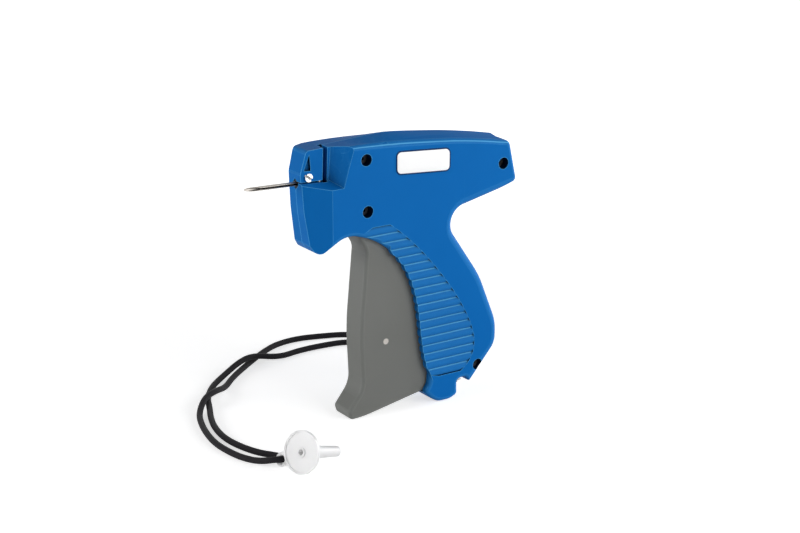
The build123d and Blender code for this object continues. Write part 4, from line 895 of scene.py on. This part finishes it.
def seen_directly(tree):
    """1 for camera, glossy and transmission rays, 0 for the rays that carry light to the object."""
    rays = add_node(tree, "ShaderNodeLightPath").outputs
    either = calculate(tree, "MAXIMUM", rays["Is Camera Ray"], rays["Is Glossy Ray"])
    return calculate(tree, "MAXIMUM", either, rays["Is Transmission Ray"])


def make_floor():
    """A square floor at the height that the tool stands on."""
    side = np.array([-FLOOR_HALF, FLOOR_HALF])
    x, y = np.meshgrid(side, side)
    corners = np.stack([x, y, np.zeros_like(x)], axis=-1)
    floor = bpy.data.objects.new("floor", grid_mesh("floor", corners))
    material = bpy.data.materials.new("floor")
    material.use_nodes = True
    tree = material.node_tree
    tree.nodes.clear()
    matt = add_node(tree, "ShaderNodeBsdfDiffuse", {"Color": FLOOR_GREY})
    place_of = add_node(tree, "ShaderNodeTexCoord").outputs["Object"]
    away = add_node(tree, "ShaderNodeVectorMath", {0: place_of}, operation="LENGTH")
    lift = remap(tree, away.outputs["Value"], *LIFT_RUN, *FLOOR_LIFT)
    glow = add_node(tree, "ShaderNodeEmission", {"Color": WHITE, "Strength": lift})
    nothing = add_node(tree, "ShaderNodeEmission", {"Strength": 0.0})
    shown = add_node(tree, "ShaderNodeMixShader", {0: seen_directly(tree), 1: nothing.outputs[0],
                                                   2: glow.outputs[0]})
    total = add_node(tree, "ShaderNodeAddShader", {0: matt.outputs[0], 1: shown.outputs[0]})
    out = add_node(tree, "ShaderNodeOutputMaterial")
    tree.links.new(total.outputs[0], out.inputs["Surface"])
    floor.data.materials.append(material)
    bpy.context.scene.collection.objects.link(floor)
    return floor


def make_surround():
    """White where it is seen, and for everything else a grey light that weakens upwards."""
    world = bpy.data.worlds.new("studio")
    world.use_nodes = True
    tree = world.node_tree
    tree.nodes.clear()
    seen = add_node(tree, "ShaderNodeBackground", {"Color": WHITE, "Strength": 1.0})
    way = add_node(tree, "ShaderNodeTexCoord").outputs["Generated"]
    rise = add_node(tree, "ShaderNodeSeparateXYZ", {"Vector": way}).outputs["Z"]
    level = remap(tree, rise, 0.0, 1.0, *AMBIENT)
    ambient = add_node(tree, "ShaderNodeBackground", {"Color": WHITE, "Strength": level})
    mixed = add_node(tree, "ShaderNodeMixShader", {0: seen_directly(tree), 1: ambient.outputs[0],
                                                   2: seen.outputs[0]})
    out = add_node(tree, "ShaderNodeOutputWorld")
    tree.links.new(mixed.outputs[0], out.inputs["Surface"])
    bpy.context.scene.world = world
    return world


print("floor side in metres", 2 * FLOOR_HALF, "with", len(make_floor().data.polygons), "face")
print("surround nodes", len(make_surround().node_tree.nodes))

# %% [markdown]
# Three low, soft lamps: one lights the side from the right, a second lights the nose from the left
# and leaves the taper between them in shade, and the third brings out the rounded back of the
# handle. Each lamp's power comes from the level of light that it should give on a surface that
# faces it. Where the levels on a surface add up to about 1, its colour comes out as written.

# %% Lamps
LAMP_DISTANCE = 1.1
# Each lamp's azimuth and height in degrees, its level, and the side of its square in metres.
LAMPS = {"side_lamp": (26, 15, 0.74, 0.9),
         "front_lamp": (-108, 9, 0.70, 0.7),
         "rear_lamp": (82, 10, 0.50, 0.6)}


def softbox(name, azimuth, elevation, level, size):
    """A square area lamp that gives a level of light on a surface that faces it: a small area
    lamp of power P lights it by P over pi squared times the distance squared."""
    data = bpy.data.lights.new(name, "AREA")
    data.size = size
    data.energy = level * math.pi ** 2 * LAMP_DISTANCE ** 2
    return aim(bpy.data.objects.new(name, data), azimuth, elevation, LAMP_DISTANCE, CAMERA_TARGET)


for name, settings in LAMPS.items():
    print(name, "watts", round(softbox(name, *settings).data.energy, 2))

# %% [markdown]
# ## The end
#
# The Standard view shows colours as they are written.

# %% Finish
scene = bpy.context.scene
scene.view_settings.view_transform = "Standard"
